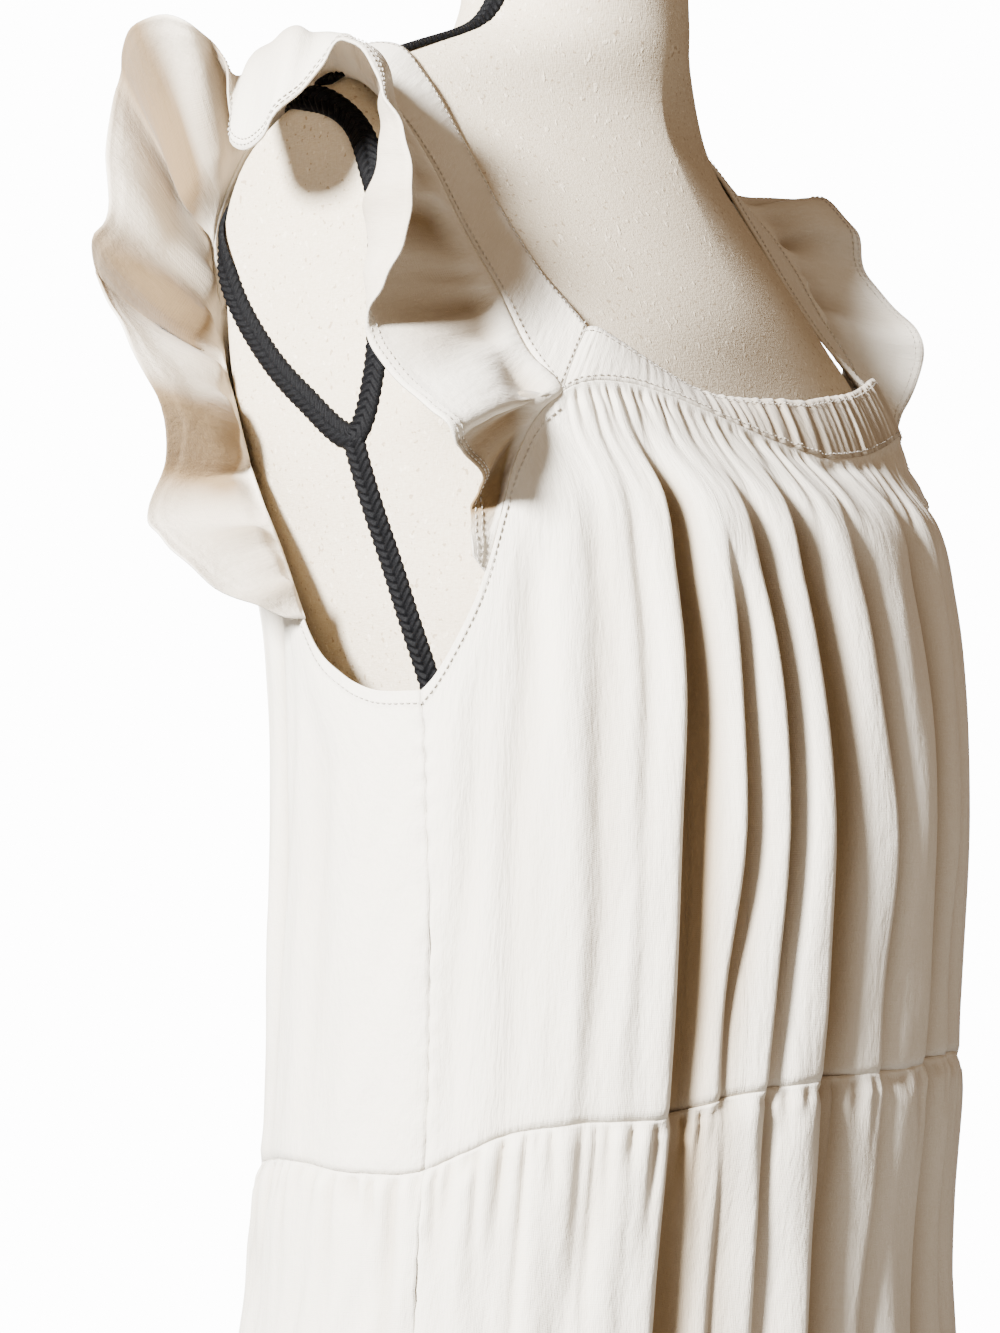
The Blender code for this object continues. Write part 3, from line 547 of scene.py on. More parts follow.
def steel_finish():
    """Black coated steel with a fine orange-peel skin."""
    finish = Finish("black_steel", Metallic=0.2, Specular_IOR_Level=0.5)
    where = finish.node("ShaderNodeTexCoord", out="Object")
    skin = finish.noise(where, 900.0, 2.0)
    dust = finish.noise(where, 14.0, 4.0)
    colour = finish.mixed(dust.between(0.45, 0.75) * 0.5, (0.022, 0.022, 0.024, 1), (0.045, 0.044, 0.042, 1))
    rough = dust.between(0.3, 0.8) * 0.2 + 0.32
    return finish.wear(Base_Color=colour, Roughness=rough, Normal=finish.bump(skin, 0.0003, 0.5))


def floor_finish():
    finish = Finish("pale_floor", Roughness=0.7)
    where = finish.node("ShaderNodeTexCoord", out="Object")
    cloud = finish.noise(where, 1.5, 3.0)
    return finish.wear(Base_Color=finish.mixed(cloud, (0.20, 0.20, 0.20, 1), (0.22, 0.22, 0.215, 1)))


# Each cloth's painted shade colour stands in for the shade in its folds.
IVORY = cloth_finish(
    "ivory_cloth", lit=(0.66, 0.615, 0.535), painted_shade_colour=(0.21, 0.138, 0.064), tone=(0.60, 0.545, 0.455)
)
# The cloth's inner faces wear a darker, warmer copy of it: painted shade, for undersides that are mostly seen
# in shadow.
IVORY_PAINTED_SHADE_INSIDE = cloth_finish(
    "ivory_cloth_inside_painted_shade", lit=(0.62, 0.55, 0.45), painted_shade_colour=(0.17, 0.112, 0.055), tone=(0.55, 0.47, 0.37)
)
THREAD = cloth_finish(
    "ivory_thread", lit=(0.62, 0.57, 0.50), painted_shade_colour=(0.34, 0.26, 0.18), tone=(0.56, 0.51, 0.44)
)
CANVAS = canvas_finish()
GIMP = gimp_finish()
STEEL = steel_finish()


def quads(rows, columns, tube=False, hoop=False, flip=False):
    """The faces between a grid's rows. A tube's rows are rings, and a hoop's last row meets its first."""
    row = np.arange(rows if hoop else rows - 1)[:, None]
    start = np.arange(columns if tube else columns - 1)[None, :]
    upper, lower, end = row * columns, (row + 1) % rows * columns, (start + 1) % columns
    faces = np.stack([lower + start, lower + end, upper + end, upper + start], axis=-1).reshape(-1, 4)
    return faces[:, ::-1] if flip else faces


def closed_tube(rows, columns, hoop=False):
    """The faces of a tube, with a cap at both ends unless it is a hoop."""
    faces = list(quads(rows, columns, tube=True, hoop=hoop))
    if hoop:
        return faces
    return faces + [range(columns), range((rows - 1) * columns, rows * columns)[::-1]]


def new_piece(name, points, faces, slot, *finishes):
    mesh = bpy.data.meshes.new(name)
    mesh.from_pydata(points.reshape(-1, 3).tolist(), [], [tuple(face) for face in faces])
    mesh.shade_smooth()
    for finish in finishes:
        mesh.materials.append(finish)
    made = bpy.data.objects.new(name, mesh)
    bpy.context.scene.collection.objects.link(made)
    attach(made, "root")
    return made


def sheet_piece(name, grid, painted_shade, thick=CLOTH, flip=False):
    """A cloth sheet on a grid, with its cut in metres as a UV map and its painted shade as an attribute."""
    rows, columns = grid.shape[:2]
    faces = quads(rows, columns, flip=flip)
    made = new_piece(f"{name}_cloth", grid, faces, "ivory_cloth", IVORY, IVORY_PAINTED_SHADE_INSIDE)
    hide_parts(name)
    across, down = distances(grid[rows // 2]), distances(grid[:, columns // 2])
    cut = np.stack(np.broadcast_arrays(across[None, :], down[:, None]), axis=-1).reshape(-1, 2)
    corners = np.zeros(len(made.data.loops), int)
    made.data.loops.foreach_get("vertex_index", corners)
    made.data.uv_layers.new(name="cut").uv.foreach_set("vector", cut[corners].ravel())
    # How much painted shade each point gets, kept between 0 and 1.
    shade = np.broadcast_to(np.clip(painted_shade, 0, 1), (rows, columns)).ravel()
    made.data.attributes.new("painted_shade", "FLOAT", "POINT").data.foreach_set("value", shade)
    wall = made.modifiers.new("wall", "SOLIDIFY")
    wall.thickness = thick
    wall.offset = 0.0
    # The inner faces take the second material, the painted shade copy of the cloth.
    wall.material_offset = 1


def crease_rows(seed, low, high, gathers):
    """Uneven creases along a seam: where each starts, how it drifts, and its length, depth and width."""
    count, shortest, longest, depth, width = gathers
    draw = np.random.default_rng(seed)
    spacing = (high - low) / count
    return {
        "place": low + spacing * (np.arange(count) + 0.5 + draw.uniform(-0.38, 0.38, count)),
        "drift": draw.normal(0, 0.35, count) * spacing,
        "length": shortest + (longest - shortest) * draw.uniform(0, 1, count) ** 2.2,
        "depth": depth * draw.uniform(0.45, 1.0, count),
        "width": width * draw.uniform(0.7, 1.3, count),
    }


def crease_depth(rows, share, down):
    """How far these creases fall in. Each is pinched at the seam, then widens and fades."""
    total = 0
    for place, drift, length, depth, width in zip(*(rows[name] for name in rows)):
        along = np.clip(down / length, 0, 1)
        fade = (1 - along) ** 2 * (1 + 2 * along)
        apart = (share - place - drift * along) / (width * (1 + 1.6 * along))
        total = total + depth * fade * np.exp(-(apart**2))
    return total


def ripple(seed, across, down, count=14):
    """Soft uneven waves of hanging cloth, longer down than across, between about -1 and 1."""
    draw = np.random.default_rng(seed)
    total = 0
    for _ in range(count):
        wide, tall = draw.uniform(0.018, 0.070), draw.uniform(0.10, 0.45)
        lean, start = draw.choice((-1, 1)), draw.uniform(0, 2 * math.pi)
        total = total + np.sin(2 * math.pi * (across / wide + lean * down / tall) + start)
    return total / math.sqrt(2 * count)


def dress_ripple(seed, angle, height):
    """The soft waves at an angle and height of the dress."""
    radius = np.linalg.norm(ring_point(DRESS_RINGS, angle, height)[..., :2], axis=-1)
    return ripple(seed, np.radians(angle) * radius, height)


def on_dress(angle, height, out):
    """Points that stand this far out from the plain tube of the dress."""
    return ring_point(DRESS_RINGS, angle, height) + out[..., None] * outward(angle, height)


def hem_rise(distance):
    """A narrow turned hem stands proud by one more layer."""
    return HEM_RISE * (1 - ramp(distance, HEM_WIDTH - 0.0005, HEM_WIDTH + 0.0005))


def front_angle(share, height):
    return share * (column(SIDE_SEAM, "angle", height) - SEAM_TURN)


def back_angle(share, height):
    return 180 - share * (180 - column(SIDE_SEAM, "angle", height) - SEAM_TURN)


def fold_depth(angle, height, down, widen):
    """How far the largest folds fall in. They wander a little as they go down."""
    lowness = 1 - ramp(height, 0.86, 1.0)
    highness = ramp(height, 1.0, 1.2)
    total = 0
    for place, depth, steep, gentle, drift, start, low in zip(*(FOLDS[name] for name in FOLDS)):
        sway = 0.5 * np.sin(19 * height + place) + 0.25 * np.sin(47 * height + 2 * place)
        apart = (angle - place - drift * highness - sway + 180) % 360 - 180
        width = np.where(apart < 0, steep, gentle) * widen * (1 + 0.2 * np.sin(11 * height + 3 * place))
        shape = np.exp(-((apart / width) ** 2)) * ramp(down, start - 0.04, start + 0.14)
        total = total + depth * (1 + (low - 1) * lowness) * shape
    return total


def seam_angle(shares, angle_of):
    """Each column's angle from the centre front at the seam between panel and tier."""
    return np.abs((angle_of(shares, SIDE_SEAM["height"][0]) + 180) % 360 - 180)


def valley_shade(fold, small):
    """How much painted shade a fold's valley and the creases in it get."""
    return 0.95 * ramp(fold, 0.0010, 0.0130) + small / 0.004 * 0.35


def side_dip(shares, height):
    """The soft, slightly puckered dip along a side seam."""
    apart = (1 - np.abs(shares)) * SIDE_SEAM_REACH
    pucker = 1 + 0.6 * np.sin(430 * height + 3 * np.sin(60 * height))
    return SIDE_DIP * np.exp(-((apart / SIDE_DIP_WIDTH) ** 2)) * pucker


def panel_sheet(name, angle_of, shares, top, corner, seed, flip):
    """A bodice panel: gathered into its band, hemmed at the armholes, and folded down to the seam."""
    gathers = crease_rows(seed, -corner, corner, PANEL_GATHERS)
    fine = crease_rows(seed + 1, -corner, corner, PANEL_CREASES)
    down = np.linspace(0, 1, PANEL_ROWS)[:, None] ** 1.4
    low = column(FIRST_SEAM, "height", seam_angle(shares, angle_of))
    high = column(top, "height", np.abs(shares))
    height = high + (low - high) * down
    angle = angle_of(shares[None, :], height)
    drop = high - height
    fold = column(PANEL_FOLDS, "fold", down) * fold_depth(angle, height, down, 1.0)
    in_band = 1 - ramp(np.abs(shares), corner - 0.03, corner + 0.01)
    small = crease_depth(gathers, shares, drop) + crease_depth(fine, shares, drop)
    small = small * in_band * ramp(drop, 0.0, 0.006)
    puff = PANEL_PUFF * ramp(drop, 0.0, 0.012) * (1 - ramp(drop, 0.03, 0.12)) * in_band
    soft = PANEL_RIPPLE * dress_ripple(seed + 2, angle, height)
    soft = soft * ramp(drop, 0.01, 0.06) * ramp(height - low, 0.0, 0.03)
    ditch = SEAM_DITCH * (1 - ramp(height - low, 0.0, 0.003))
    hem = hem_rise(drop) * ramp(np.abs(shares), corner, corner + 0.005)
    out = puff + soft + hem - fold - small - ditch - side_dip(shares, height) * ramp(drop, 0.004, 0.012)
    grid = on_dress(angle, height, out)
    sheet_piece(name, grid, valley_shade(fold, small), flip=flip)
    return grid


def hem_wave(angle):
    """The hanging waves of the skirt's low edge."""
    turn = np.radians(angle)
    return HEM_WAVE_DEPTH * np.cos(HEM_WAVES * turn + 1.3 * np.sin(3 * turn))


def tier_sheet(name, angle_of, shares, down, top, low_edge, levels, gathers, seed, flip, hemmed):
    """A tier, gathered along its top seam and folded down to the next seam or the hem."""
    creases = crease_rows(seed, -1, 1, gathers)
    ends = seam_angle(shares, angle_of)
    high, low = column(top, "height", ends), column(low_edge, "height", ends)
    height = high + (low - high) * down
    angle = angle_of(shares[None, :], height)
    drop = high - height
    fold = column(levels, "fold", down) * fold_depth(angle, height, 1 + 0 * down, 1 + FOLD_SPREAD * down)
    small = crease_depth(creases, shares, drop) * ramp(drop, 0.0, 0.004)
    puff = TIER_PUFF * ramp(drop, 0.0, 0.008) * (1 - ramp(drop, 0.015, 0.07))
    soft = TIER_RIPPLE * dress_ripple(seed + 1, angle, height) * ramp(drop, 0.01, 0.06)
    ditch = SEAM_DITCH * (1 - ramp(drop, 0.0, 0.003))
    wave = column(levels, "wave", down) * hem_wave(angle)
    out = puff + soft - fold - small - ditch - side_dip(shares, height) + wave
    if hemmed:
        out = out + hem_rise((height - low) / 2)
    grid = on_dress(angle, height, out)
    sheet_piece(name, grid, valley_shade(fold, small), flip=flip)
    return grid


def band_sheet(name, angle_of, shares, top, band, seed, ruched, flip):
    """A neckband between its gathered edge and its free one, ruched where its share is high."""
    height = column(top, "height", np.abs(shares))
    lower = ring_point(DRESS_RINGS, angle_of(shares, height), height)
    upper = lower + np.stack([column(band, side, shares) for side in ("inset", "back", "rise")], axis=-1)
    part = np.linspace(0, 1, BAND_ROWS)[:, None, None]
    grid = upper + (lower - upper) * part
    draw = np.random.default_rng(seed)
    ruche = 0
    for _ in range(5):
        waves, start = draw.uniform(120, 320), draw.uniform(0, 6.28)
        ruche = ruche + np.sin(waves * shares + start + 3.0 * part[..., 0])
    crown = 4 * part[..., 0] * (1 - part[..., 0])
    out = BAND_RUCHE * ruche * (0.12 + 0.88 * ruched) + BAND_CROWN * crown
    grid = grid + out[..., None] * grid_normals(grid) * (-1 if flip else 1)
    # Painted shade: a little on the whole band, more on its ruched part and most in the ruche's troughs.
    sheet_piece(name, grid, 0.10 + (0.45 - 0.10 * ruche) * ruched, BAND_CLOTH, flip)
    return grid, lower, upper


def strap_edges(front, back):
    """The left strap's inner and outer edges, between the two mitres."""
    inner = np.stack([0 * STRAP["inner_y"] + STRAP_INNER_X, STRAP["inner_y"], STRAP["inner_z"]], axis=-1)
    outer = np.stack([STRAP["outer_x"], STRAP["outer_y"], STRAP["outer_z"]], axis=-1)
    return np.vstack([front[1], inner, back[1]]), np.vstack([front[0], outer, back[0]])


def ruffle_seam(inner, outer, count):
    """The left ruffle's sewn edge along armhole and strap."""
    front, front_normals = armhole_edge(FRONT_TOP, front_angle, RUFFLE_FRONT_SHARE, CORNER_SHARE)
    back, back_normals = armhole_edge(BACK_TOP, back_angle, BACK_CORNER_SHARE, RUFFLE_BACK_SHARE)
    edge = np.vstack([front, outer[1:-1], back])
    along = np.gradient(edge, axis=0)
    on_strap = slice(len(front), -len(back))
    strap_normals = np.cross(along[on_strap], (outer - inner)[1:-1])
    away = unit(np.cross(along, np.vstack([front_normals, strap_normals, back_normals])))
    towards = ARMHOLE_MIDDLE - edge * np.array([0, 1, 1])
    towards[on_strap] = (1, 0, 0)
    away *= np.sign(np.sum(away * towards, axis=1, keepdims=True))
    return resampled(edge + RUFFLE_GAP * away, count)


def armhole_edge(top, angle_of, first, last):
    """Points along a panel's top, and the outward direction at each."""
    shares = np.linspace(first, last, 7)
    height = column(top, "height", shares)
    angle = angle_of(shares, height)
    return ring_point(DRESS_RINGS, angle, height), outward(angle, height)


def ruffle_sheet(name, seam, side, seed):
    """A ruffle from its gathered seam to its free edge, with flutes, creases and a narrow hem."""
    share = np.linspace(0, 1, len(seam))
    names = ("x", "y", "z") if side < 0 else ("x", "left_y", "z")
    free = np.stack([column(RUFFLE_EDGE, axis, share) for axis in names], axis=-1)
    belly, lift = (column(RUFFLE_EDGE, axis, share) for axis in ("belly", "lift"))
    belly, lift = (belly, lift) if side < 0 else (LEFT_BELLY * belly, LEFT_LIFT * lift)
    part = np.linspace(0, 1, RUFFLE_ROWS)[:, None]
    early, late = 4 * part * (1 - part), 6.75 * part**2 * (1 - part)
    bulge = np.stack(np.broadcast_arrays(0, late * belly, early * lift), axis=-1)
    flute = column(RUFFLE_FLUTES, "out", share) * part**0.7 * (1 if side < 0 else LEFT_FLUTE)
    towards = np.array([math.sin(-CAMERA_AZIMUTH), -math.cos(CAMERA_AZIMUTH), 0])
    grid = seam + (free - seam) * part[..., None] + bulge + flute[..., None] * towards
    reach = np.linalg.norm(free - seam, axis=-1)
    creases = crease_rows(seed, 0.0, 1.0, RUFFLE_GATHERS)
    small = crease_depth(creases, share, part * (0.3 + 0.7 * reach / reach.max()) + 0 * share)
    small = small * ramp(reach, 0.004, 0.03) * ramp(part, 0.02, 0.22)
    small = small * (1 + 0.4 * ramp(np.abs(share - 0.48), 0.06, 0.16))
    # Painted shade on the flutes that turn away from the light, growing from the seam outwards.
    shade = column(RUFFLE_FLUTES, "shade", share) * ramp(part, 0.02, 0.30) * ramp(reach, 0.004, 0.02)
    soft = RUFFLE_RIPPLE * ripple(seed, share * 0.7, part * 0.1) * part * ramp(reach, 0.01, 0.04)
    out = soft - small + hem_rise((1 - part) * reach)
    grid = mirrored(grid + out[..., None] * grid_normals(grid), side)
    # Painted shade in the creases and on the shaded flutes, much weaker on the left ruffle.
    painted_shade = small / RUFFLE_GATHERS[3] * 0.6 + shade * (1.3 if side < 0 else 0.3)
    sheet_piece(name, grid, painted_shade, flip=side < 0)
    return grid


def stitch_rows(name, rows):
    """Short raised stitches along several rows, each a path with its normals, in one piece."""
    ring = ((1, 0), (0, 1), (-1, 0), (0, -1))
    around = len(ring)
    corners = 2 * around + 2
    points, faces = [], []
    for path, normals in rows:
        count = max(int(path_length(path) / STITCH_PITCH), 2)
        middle = resampled(path, count)
        up = unit(resampled(normals, count))
        ahead = unit(np.gradient(middle, axis=0))
        side = unit(np.cross(up, ahead))
        middle = middle + up * STITCH_RADIUS * STITCH_STAND
        parts = [middle - ahead * STITCH_LENGTH / 2 - up * STITCH_RADIUS]
        for share in (-STITCH_SHOULDER, STITCH_SHOULDER):
            for wide, high in ring:
                corner = (side * wide + up * high) * STITCH_RADIUS
                parts.append(middle + ahead * STITCH_LENGTH * share + corner)
        parts.append(middle + ahead * STITCH_LENGTH / 2 - up * STITCH_RADIUS)
        start = sum(len(group) for group in points) + corners * np.arange(count)
        points.append(np.stack(parts, axis=1).reshape(-1, 3))
        for place in range(around):
            first, second = 1 + place, 1 + (place + 1) % around
            third, fourth = second + around, first + around
            faces += [(base, base + second, base + first) for base in start]
            faces += [(base + first, base + second, base + third, base + fourth) for base in start]
            faces += [(base + corners - 1, base + fourth, base + third) for base in start]
    made = new_piece(name, np.vstack(points), faces, "ivory_cloth", THREAD)
    made.data.uv_layers.new(name="cut")


def faced(grid, flip):
    """A grid whose normals point outwards."""
    return grid[:, ::-1] if flip else grid


def edge_run(grid, distance, chosen=slice(None), out=CLOTH / 2):
    """A path at this distance from a grid's first row, on its cloth's face."""
    path, normals = inset(grid, distance)
    path, normals = path[chosen], normals[chosen]
    return path + normals * out, normals


def panel_shares(corner, inner, outer):
    """A panel's columns: so many under its band and so many on each side."""
    middle, side = np.linspace(-corner, corner, inner), np.linspace(corner, 1, outer)[1:]
    return np.concatenate([-side[::-1], middle, side])


def build_bodice():
    """Front and back panels, with their armhole hems stitched."""
    for name, angle_of, inner, outer, top, corner, flip, seed in (
        ("front", front_angle, 380, 40, FRONT_TOP, CORNER_SHARE, False, 3),
        ("back", back_angle, 260, 60, BACK_TOP, BACK_CORNER_SHARE, True, 8),
    ):
        shares = panel_shares(corner, inner, outer)
        grid = panel_sheet(f"{name}_panel", angle_of, shares, top, corner, seed, flip)
        path, normals = edge_run(faced(grid, flip), HEM_STITCHES, np.abs(shares) > corner + 0.01)
        halves = path[:, 0] < 0, path[:, 0] > 0
        stitch_rows(f"armhole_stitches_{name}", [(path[half], normals[half]) for half in halves])


def build_tiers():
    """Upper and lower tiers, with the skirt's hem stitched."""
    shares = np.linspace(-1, 1, TIER_COLUMNS)
    upper_down = np.linspace(0, 1, 58)[:, None] ** 1.3
    lower_down = np.linspace(0, 1, 50)[:, None] ** 1.1
    for name, angle_of, flip, seed in (("front", front_angle, False, 21), ("back", back_angle, True, 35)):
        tier_sheet(
            f"upper_tier_{name}", angle_of, shares, upper_down, FIRST_SEAM, SECOND_SEAM, UPPER_TIER_FOLDS,
            UPPER_TIER_GATHERS, seed, flip, False,
        )
        grid = tier_sheet(
            f"lower_tier_{name}", angle_of, shares, lower_down, SECOND_SEAM, HEM, LOWER_TIER_FOLDS,
            LOWER_TIER_GATHERS, seed + 2, flip, True,
        )
        facing = faced(grid, flip)
        stitch_rows(f"hem_stitches_{name}", [edge_run(facing[::-1, ::-1], SKIRT_HEM_STITCHES)])


def build_neckline():
    """The two neckbands, the straps between them and the ruffles."""
    front_shares = np.linspace(-CORNER_SHARE, CORNER_SHARE, 340)
    back_shares = np.linspace(-BACK_CORNER_SHARE, BACK_CORNER_SHARE, 220)
    ruched = ramp(front_shares, -0.40, 0.0)
    front_grid, *front_edges = band_sheet(
        "front_neckband", front_angle, front_shares, FRONT_TOP, FRONT_BAND, 51, ruched, False
    )
    back_grid, *back_edges = band_sheet(
        "back_neckband", back_angle, back_shares, BACK_TOP, BACK_BAND, 52, 0 * back_shares + 0.5, True
    )
    for name, grid in (("front", front_grid), ("back", faced(back_grid, True))):
        runs = ((grid, SEAM_STITCHES), (grid[::-1, ::-1], EDGE_STITCHES))
        stitch_rows(f"stitches_{name}_neckband_cloth", [edge_run(*run, out=CLOTH) for run in runs])
    ends = [[edge[-1] for edge in edges] for edges in (front_edges, back_edges)]
    inner, outer = strap_edges(*ends)
    seam = ruffle_seam(inner, outer, RUFFLE_COLUMNS)
    inner, outer = resampled(inner, STRAP_COLUMNS), resampled(outer, STRAP_COLUMNS)
    part = np.linspace(0, 1, STRAP_ROWS)[:, None, None]
    strap = inner + (outer - inner) * part
    strap = strap + STRAP_CROWN * 4 * part * (1 - part) * grid_normals(strap)
    pucker = STRAP_PUCKER * ripple(60, np.linspace(0, 0.16, STRAP_COLUMNS)[None, :], part[..., 0] * 0.02)
    strap = strap + pucker[..., None] * grid_normals(strap)
    for name, side in (("right", -1), ("left", 1)):
        grid = mirrored(strap, side)
        # The straps get a light, even painted shade.
        sheet_piece(f"strap_{name}", grid, 0.08, BAND_CLOTH, flip=side < 0)
        facing = faced(grid, side < 0)
        turned = np.swapaxes(facing, 0, 1)
        runs = [(edge, EDGE_STITCHES) for edge in (facing, facing[::-1, ::-1])]
        runs += [(edge, MITRE_STITCHES) for edge in (turned[:, ::-1], turned[::-1])]
        stitch_rows(f"stitches_strap_{name}", [edge_run(*run, out=CLOTH) for run in runs])
        facing = faced(ruffle_sheet(f"ruffle_{name}", seam, side, 70 + side), side < 0)
        rows = [edge_run(facing[::-1, ::-1], distance) for distance in (EDGE_STITCHES, HEM_STITCHES)]
        stitch_rows(f"stitches_ruffle_{name}", rows)


def soft_limit(x):
    """The form's sides are cut flat at the arm plates, with a small round."""
    near = PLATE_X - PLATE_BLEND
    part = np.clip((np.abs(x) - near) / (2 * PLATE_BLEND), 0, 1)
    flat = near + 2 * PLATE_BLEND * (part - part**2 / 2)
    return np.sign(x) * np.where(np.abs(x) < near, np.abs(x), flat)


def form_side(y, height):
    """How far out the form's side lies at this y and height."""
    at = {name: column(FORM_RINGS, name, height) for name in FORM_RINGS}
    depth = np.where(y < at["centre"], at["front_depth"], at["back_depth"])
    power = np.where(y < at["centre"], at["front_power"], at["back_power"])
    left = np.clip(1 - np.abs((y - at["centre"]) / depth) ** power, 0, 1)
    return soft_limit(at["half_width"] * left ** (1 / power))


def side_normals(path):
    step = 0.002
    y, z = path[:, 1], path[:, 2]
    slope_y = (form_side(y + step, z) - form_side(y - step, z)) / (2 * step)
    slope_z = (form_side(y, z + step) - form_side(y, z - step)) / (2 * step)
    return unit(np.stack([1 + 0 * y, -slope_y, -slope_z], axis=-1))


def build_torso():
    turns = np.arange(TORSO_COLUMNS) * 360 / TORSO_COLUMNS
    levels = np.linspace(FORM_RINGS["height"][-1], FORM_RINGS["height"][0], TORSO_ROWS)
    grid = ring_point(FORM_RINGS, turns[None, :], levels[:, None])
    grid[..., 0] = soft_limit(grid[..., 0])
    grid[0, :, :2] = grid[0, :, :2] * 0.985 + 0.015 * grid[0, :, :2].mean(axis=0)
    made = new_piece("form_torso_canvas", grid, closed_tube(TORSO_ROWS, TORSO_COLUMNS), "form_canvas", CANVAS)
    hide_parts("form_torso")


def braid_piece(name, path, normals, hoop):
    """Gimp braid: slanted cords that meet in a herringbone down its middle."""
    ahead = np.roll(path, -1, axis=0) - np.roll(path, 1, axis=0)
    if not hoop:
        ahead[0], ahead[-1] = path[1] - path[0], path[-1] - path[-2]
    side = unit(np.cross(normals, ahead))
    share = np.linspace(-1, 1, BRAID_COLUMNS)
    along = np.arange(len(path))[:, None] * BRAID_STEP + np.abs(share) * RIB_SLANT * BRAID_WIDTH / 2
    cord = np.abs(np.sin(math.pi * along / RIB_PITCH))
    middle = 1 - np.exp(-((share / 0.12) ** 2))
    dome = np.sqrt(np.clip(1 - np.abs(share) ** 3, 0, 1))
    high = (BRAID_THICK - RIB_DEPTH) * dome + RIB_DEPTH * (cord - 0.5 + 0.5 * middle) * dome
    wide = share * BRAID_WIDTH / 2 * (1 + 0.12 * (cord - 0.6))
    top = path[:, None] + side[:, None] * wide[..., None] + normals[:, None] * high[..., None]
    low_wide = (share[[-1, 0]] * BRAID_WIDTH / 2)[:, None]
    under = path[:, None] + side[:, None] * low_wide - normals[:, None] * BRAID_SUNK
    grid = np.concatenate([top, under], axis=1)
    made = new_piece(f"{name}_cords", grid, closed_tube(*grid.shape[:2], hoop), "black_gimp", GIMP)
    face_out(made)
    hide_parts(name)


def face_out(made):
    """Turns a closed mesh's faces outwards."""
    mesh = made.data
    mesh.calc_loop_triangles()
    corners = np.zeros(len(mesh.loop_triangles) * 3, int)
    mesh.loop_triangles.foreach_get("vertices", corners)
    points = np.zeros(len(mesh.vertices) * 3)
    mesh.vertices.foreach_get("co", points)
    a, b, c = (points.reshape(-1, 3)[corners.reshape(-1, 3)[:, place]] for place in range(3))
    if np.sum(a * np.cross(b, c)) < 0:
        mesh.flip_normals()


def build_braids():
    whole = {name: np.tile(PLATE_BRAID[name], 3) for name in "yz"}
    rounds = len(PLATE_BRAID["y"]) * (1 + np.arange(240) / 240)
    y, z = (smooth(np.arange(len(whole[name])), whole[name], rounds) for name in "yz")
    plate = np.stack([form_side(y, z), y, z], axis=-1)
    plate = resampled(np.vstack([plate, plate[:1]]), int(path_length(plate) / BRAID_STEP))[:-1]
    z = np.linspace(SIDE_BRAID["z"][0], SIDE_BRAID["z"][-1], 300)
    y = smooth(-SIDE_BRAID["z"], SIDE_BRAID["y"], -z)
    side_line = by_steps(np.stack([form_side(y, z), y, z], axis=-1))
    z = np.linspace(SHOULDER_BRAID_LOW, SHOULDER_BRAID_HIGH, 120)
    ridge = [column(FORM_RINGS, "half_width", z), column(FORM_RINGS, "centre", z), z]
    ridge = by_steps(np.stack(ridge, axis=-1))
    along = np.gradient(ridge, axis=0)
    ridge_normals = unit(np.stack([along[:, 2], 0 * along[:, 1], -along[:, 0]], axis=-1))
    for name, side in (("right", -1), ("left", 1)):
        for kind, path, normals, hoop in (
            ("armhole_braid", plate, side_normals(plate), True),
            ("side_braid", side_line, side_normals(side_line), False),
            ("shoulder_braid", ridge, ridge_normals, False),
        ):
            braid_piece(f"{kind}_{name}", mirrored(path, side), mirrored(normals, side), hoop)


def build_stand():
    for name in ("stand_pole", "stand_base"):
        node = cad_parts[name]
        node.data.materials.clear()
        node.data.materials.append(STEEL)


def add_floor():
    place = (0, 0, -FLOOR_GAP)
    bpy.ops.mesh.primitive_circle_add(vertices=96, radius=FLOOR_RADIUS, fill_type="NGON", location=place)
    floor = bpy.context.object
    floor.name = "pale_floor"
    floor.data.materials.append(floor_finish())
    floor.select_set(False)


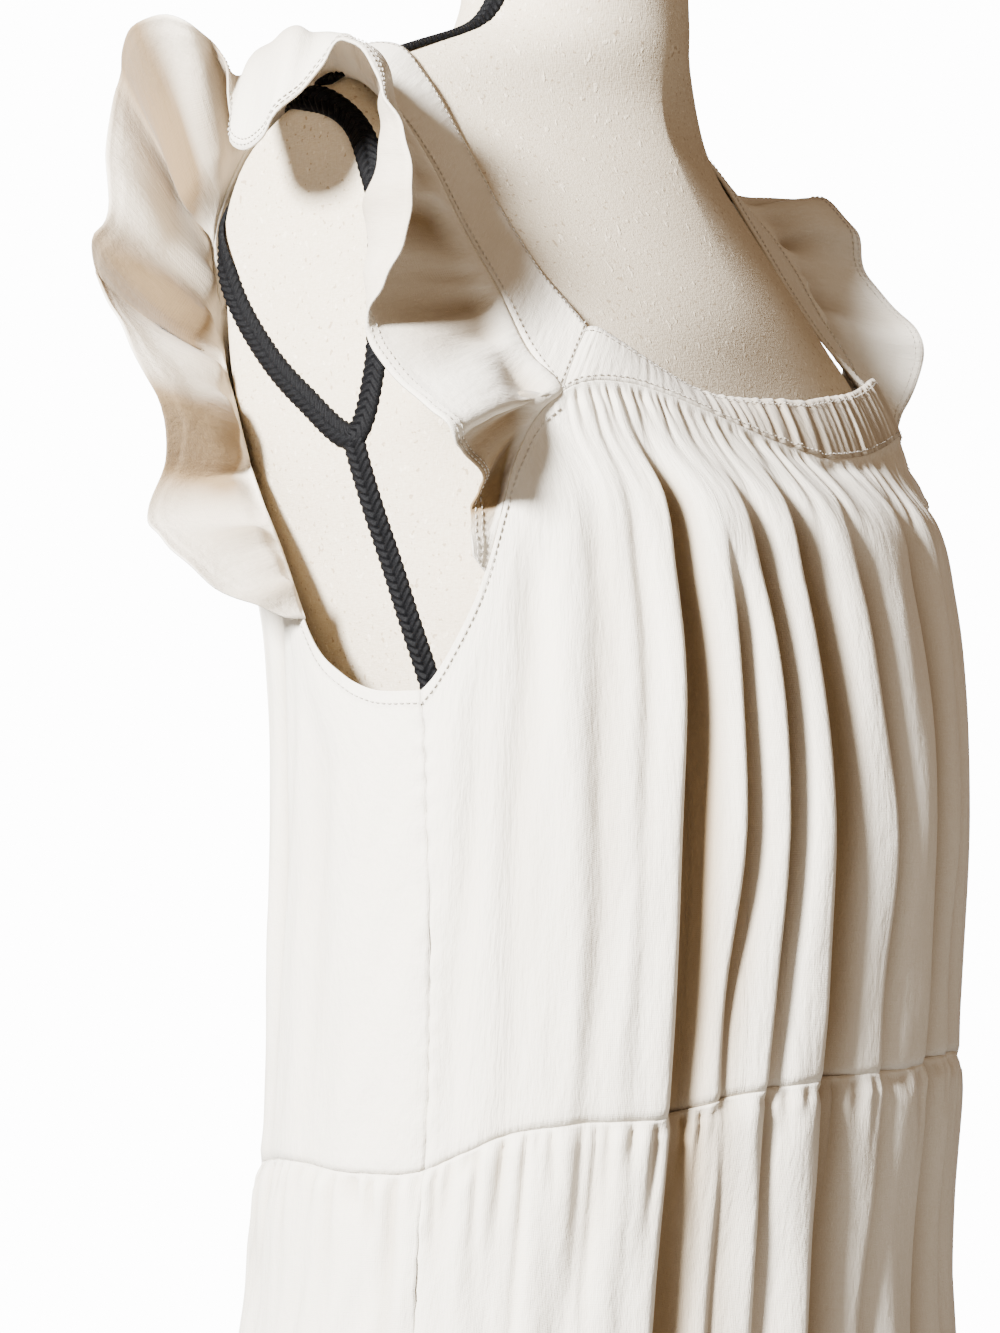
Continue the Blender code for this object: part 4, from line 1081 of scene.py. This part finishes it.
def add_light(name, size, power, colour, place, target):
    data = bpy.data.lights.new(name, "AREA")
    data.shape = "DISK"
    data.size = size
    data.energy = power
    data.color = colour
    light = bpy.data.objects.new(name, data)
    light.location = place
    light.rotation_euler = (Vector(target) - Vector(place)).to_track_quat("-Z", "Y").to_euler()
    bpy.context.scene.collection.objects.link(light)


def add_lights():
    """The lights, and a room that looks white to the camera."""
    for name, light in LIGHTS.items():
        add_light(name, *light)
    world = bpy.data.worlds.new("white_room")
    bpy.context.scene.world = world
    world.use_nodes = True
    tree = world.node_tree
    room, seen = tree.nodes["Background"], tree.nodes.new("ShaderNodeBackground")
    room.inputs["Color"].default_value = ROOM_COLOUR
    room.inputs["Strength"].default_value = ROOM_STRENGTH
    seen.inputs["Color"].default_value = BACKDROP_COLOUR
    seen.inputs["Strength"].default_value = BACKDROP_STRENGTH
    path, both = tree.nodes.new("ShaderNodeLightPath"), tree.nodes.new("ShaderNodeMixShader")
    tree.links.new(path.outputs["Is Camera Ray"], both.inputs[0])
    tree.links.new(room.outputs[0], both.inputs[1])
    tree.links.new(seen.outputs[0], both.inputs[2])
    tree.links.new(both.outputs[0], tree.nodes["World Output"].inputs["Surface"])


def add_camera():
    """The photo's camera, turned a little left of the dress and up."""
    right = Vector((math.cos(CAMERA_AZIMUTH), math.sin(CAMERA_AZIMUTH), 0))
    ahead = Vector((-math.sin(CAMERA_AZIMUTH), math.cos(CAMERA_AZIMUTH), 0))
    left_by = (AXIS_PIXEL - PHOTO_WIDTH / 2) / FOCAL_PIXELS
    up_by = (HORIZON_PIXEL - PHOTO_HEIGHT / 2) / FOCAL_PIXELS
    data = bpy.data.cameras.new("photo_camera")
    data.sensor_fit = "VERTICAL"
    data.sensor_height = SENSOR
    data.lens = SENSOR * FOCAL_PIXELS / PHOTO_HEIGHT
    camera = bpy.data.objects.new("photo_camera", data)
    camera.location = Vector((0, 0, CAMERA_HEIGHT)) - CAMERA_DISTANCE * ahead
    facing = ahead - left_by * right + Vector((0, 0, up_by))
    camera.rotation_euler = facing.to_track_quat("-Z", "Y").to_euler()
    bpy.context.scene.collection.objects.link(camera)
    bpy.context.scene.camera = camera


add_camera()
add_floor()
add_lights()
build_bodice()
build_tiers()
build_neckline()
build_torso()
build_braids()
build_stand()
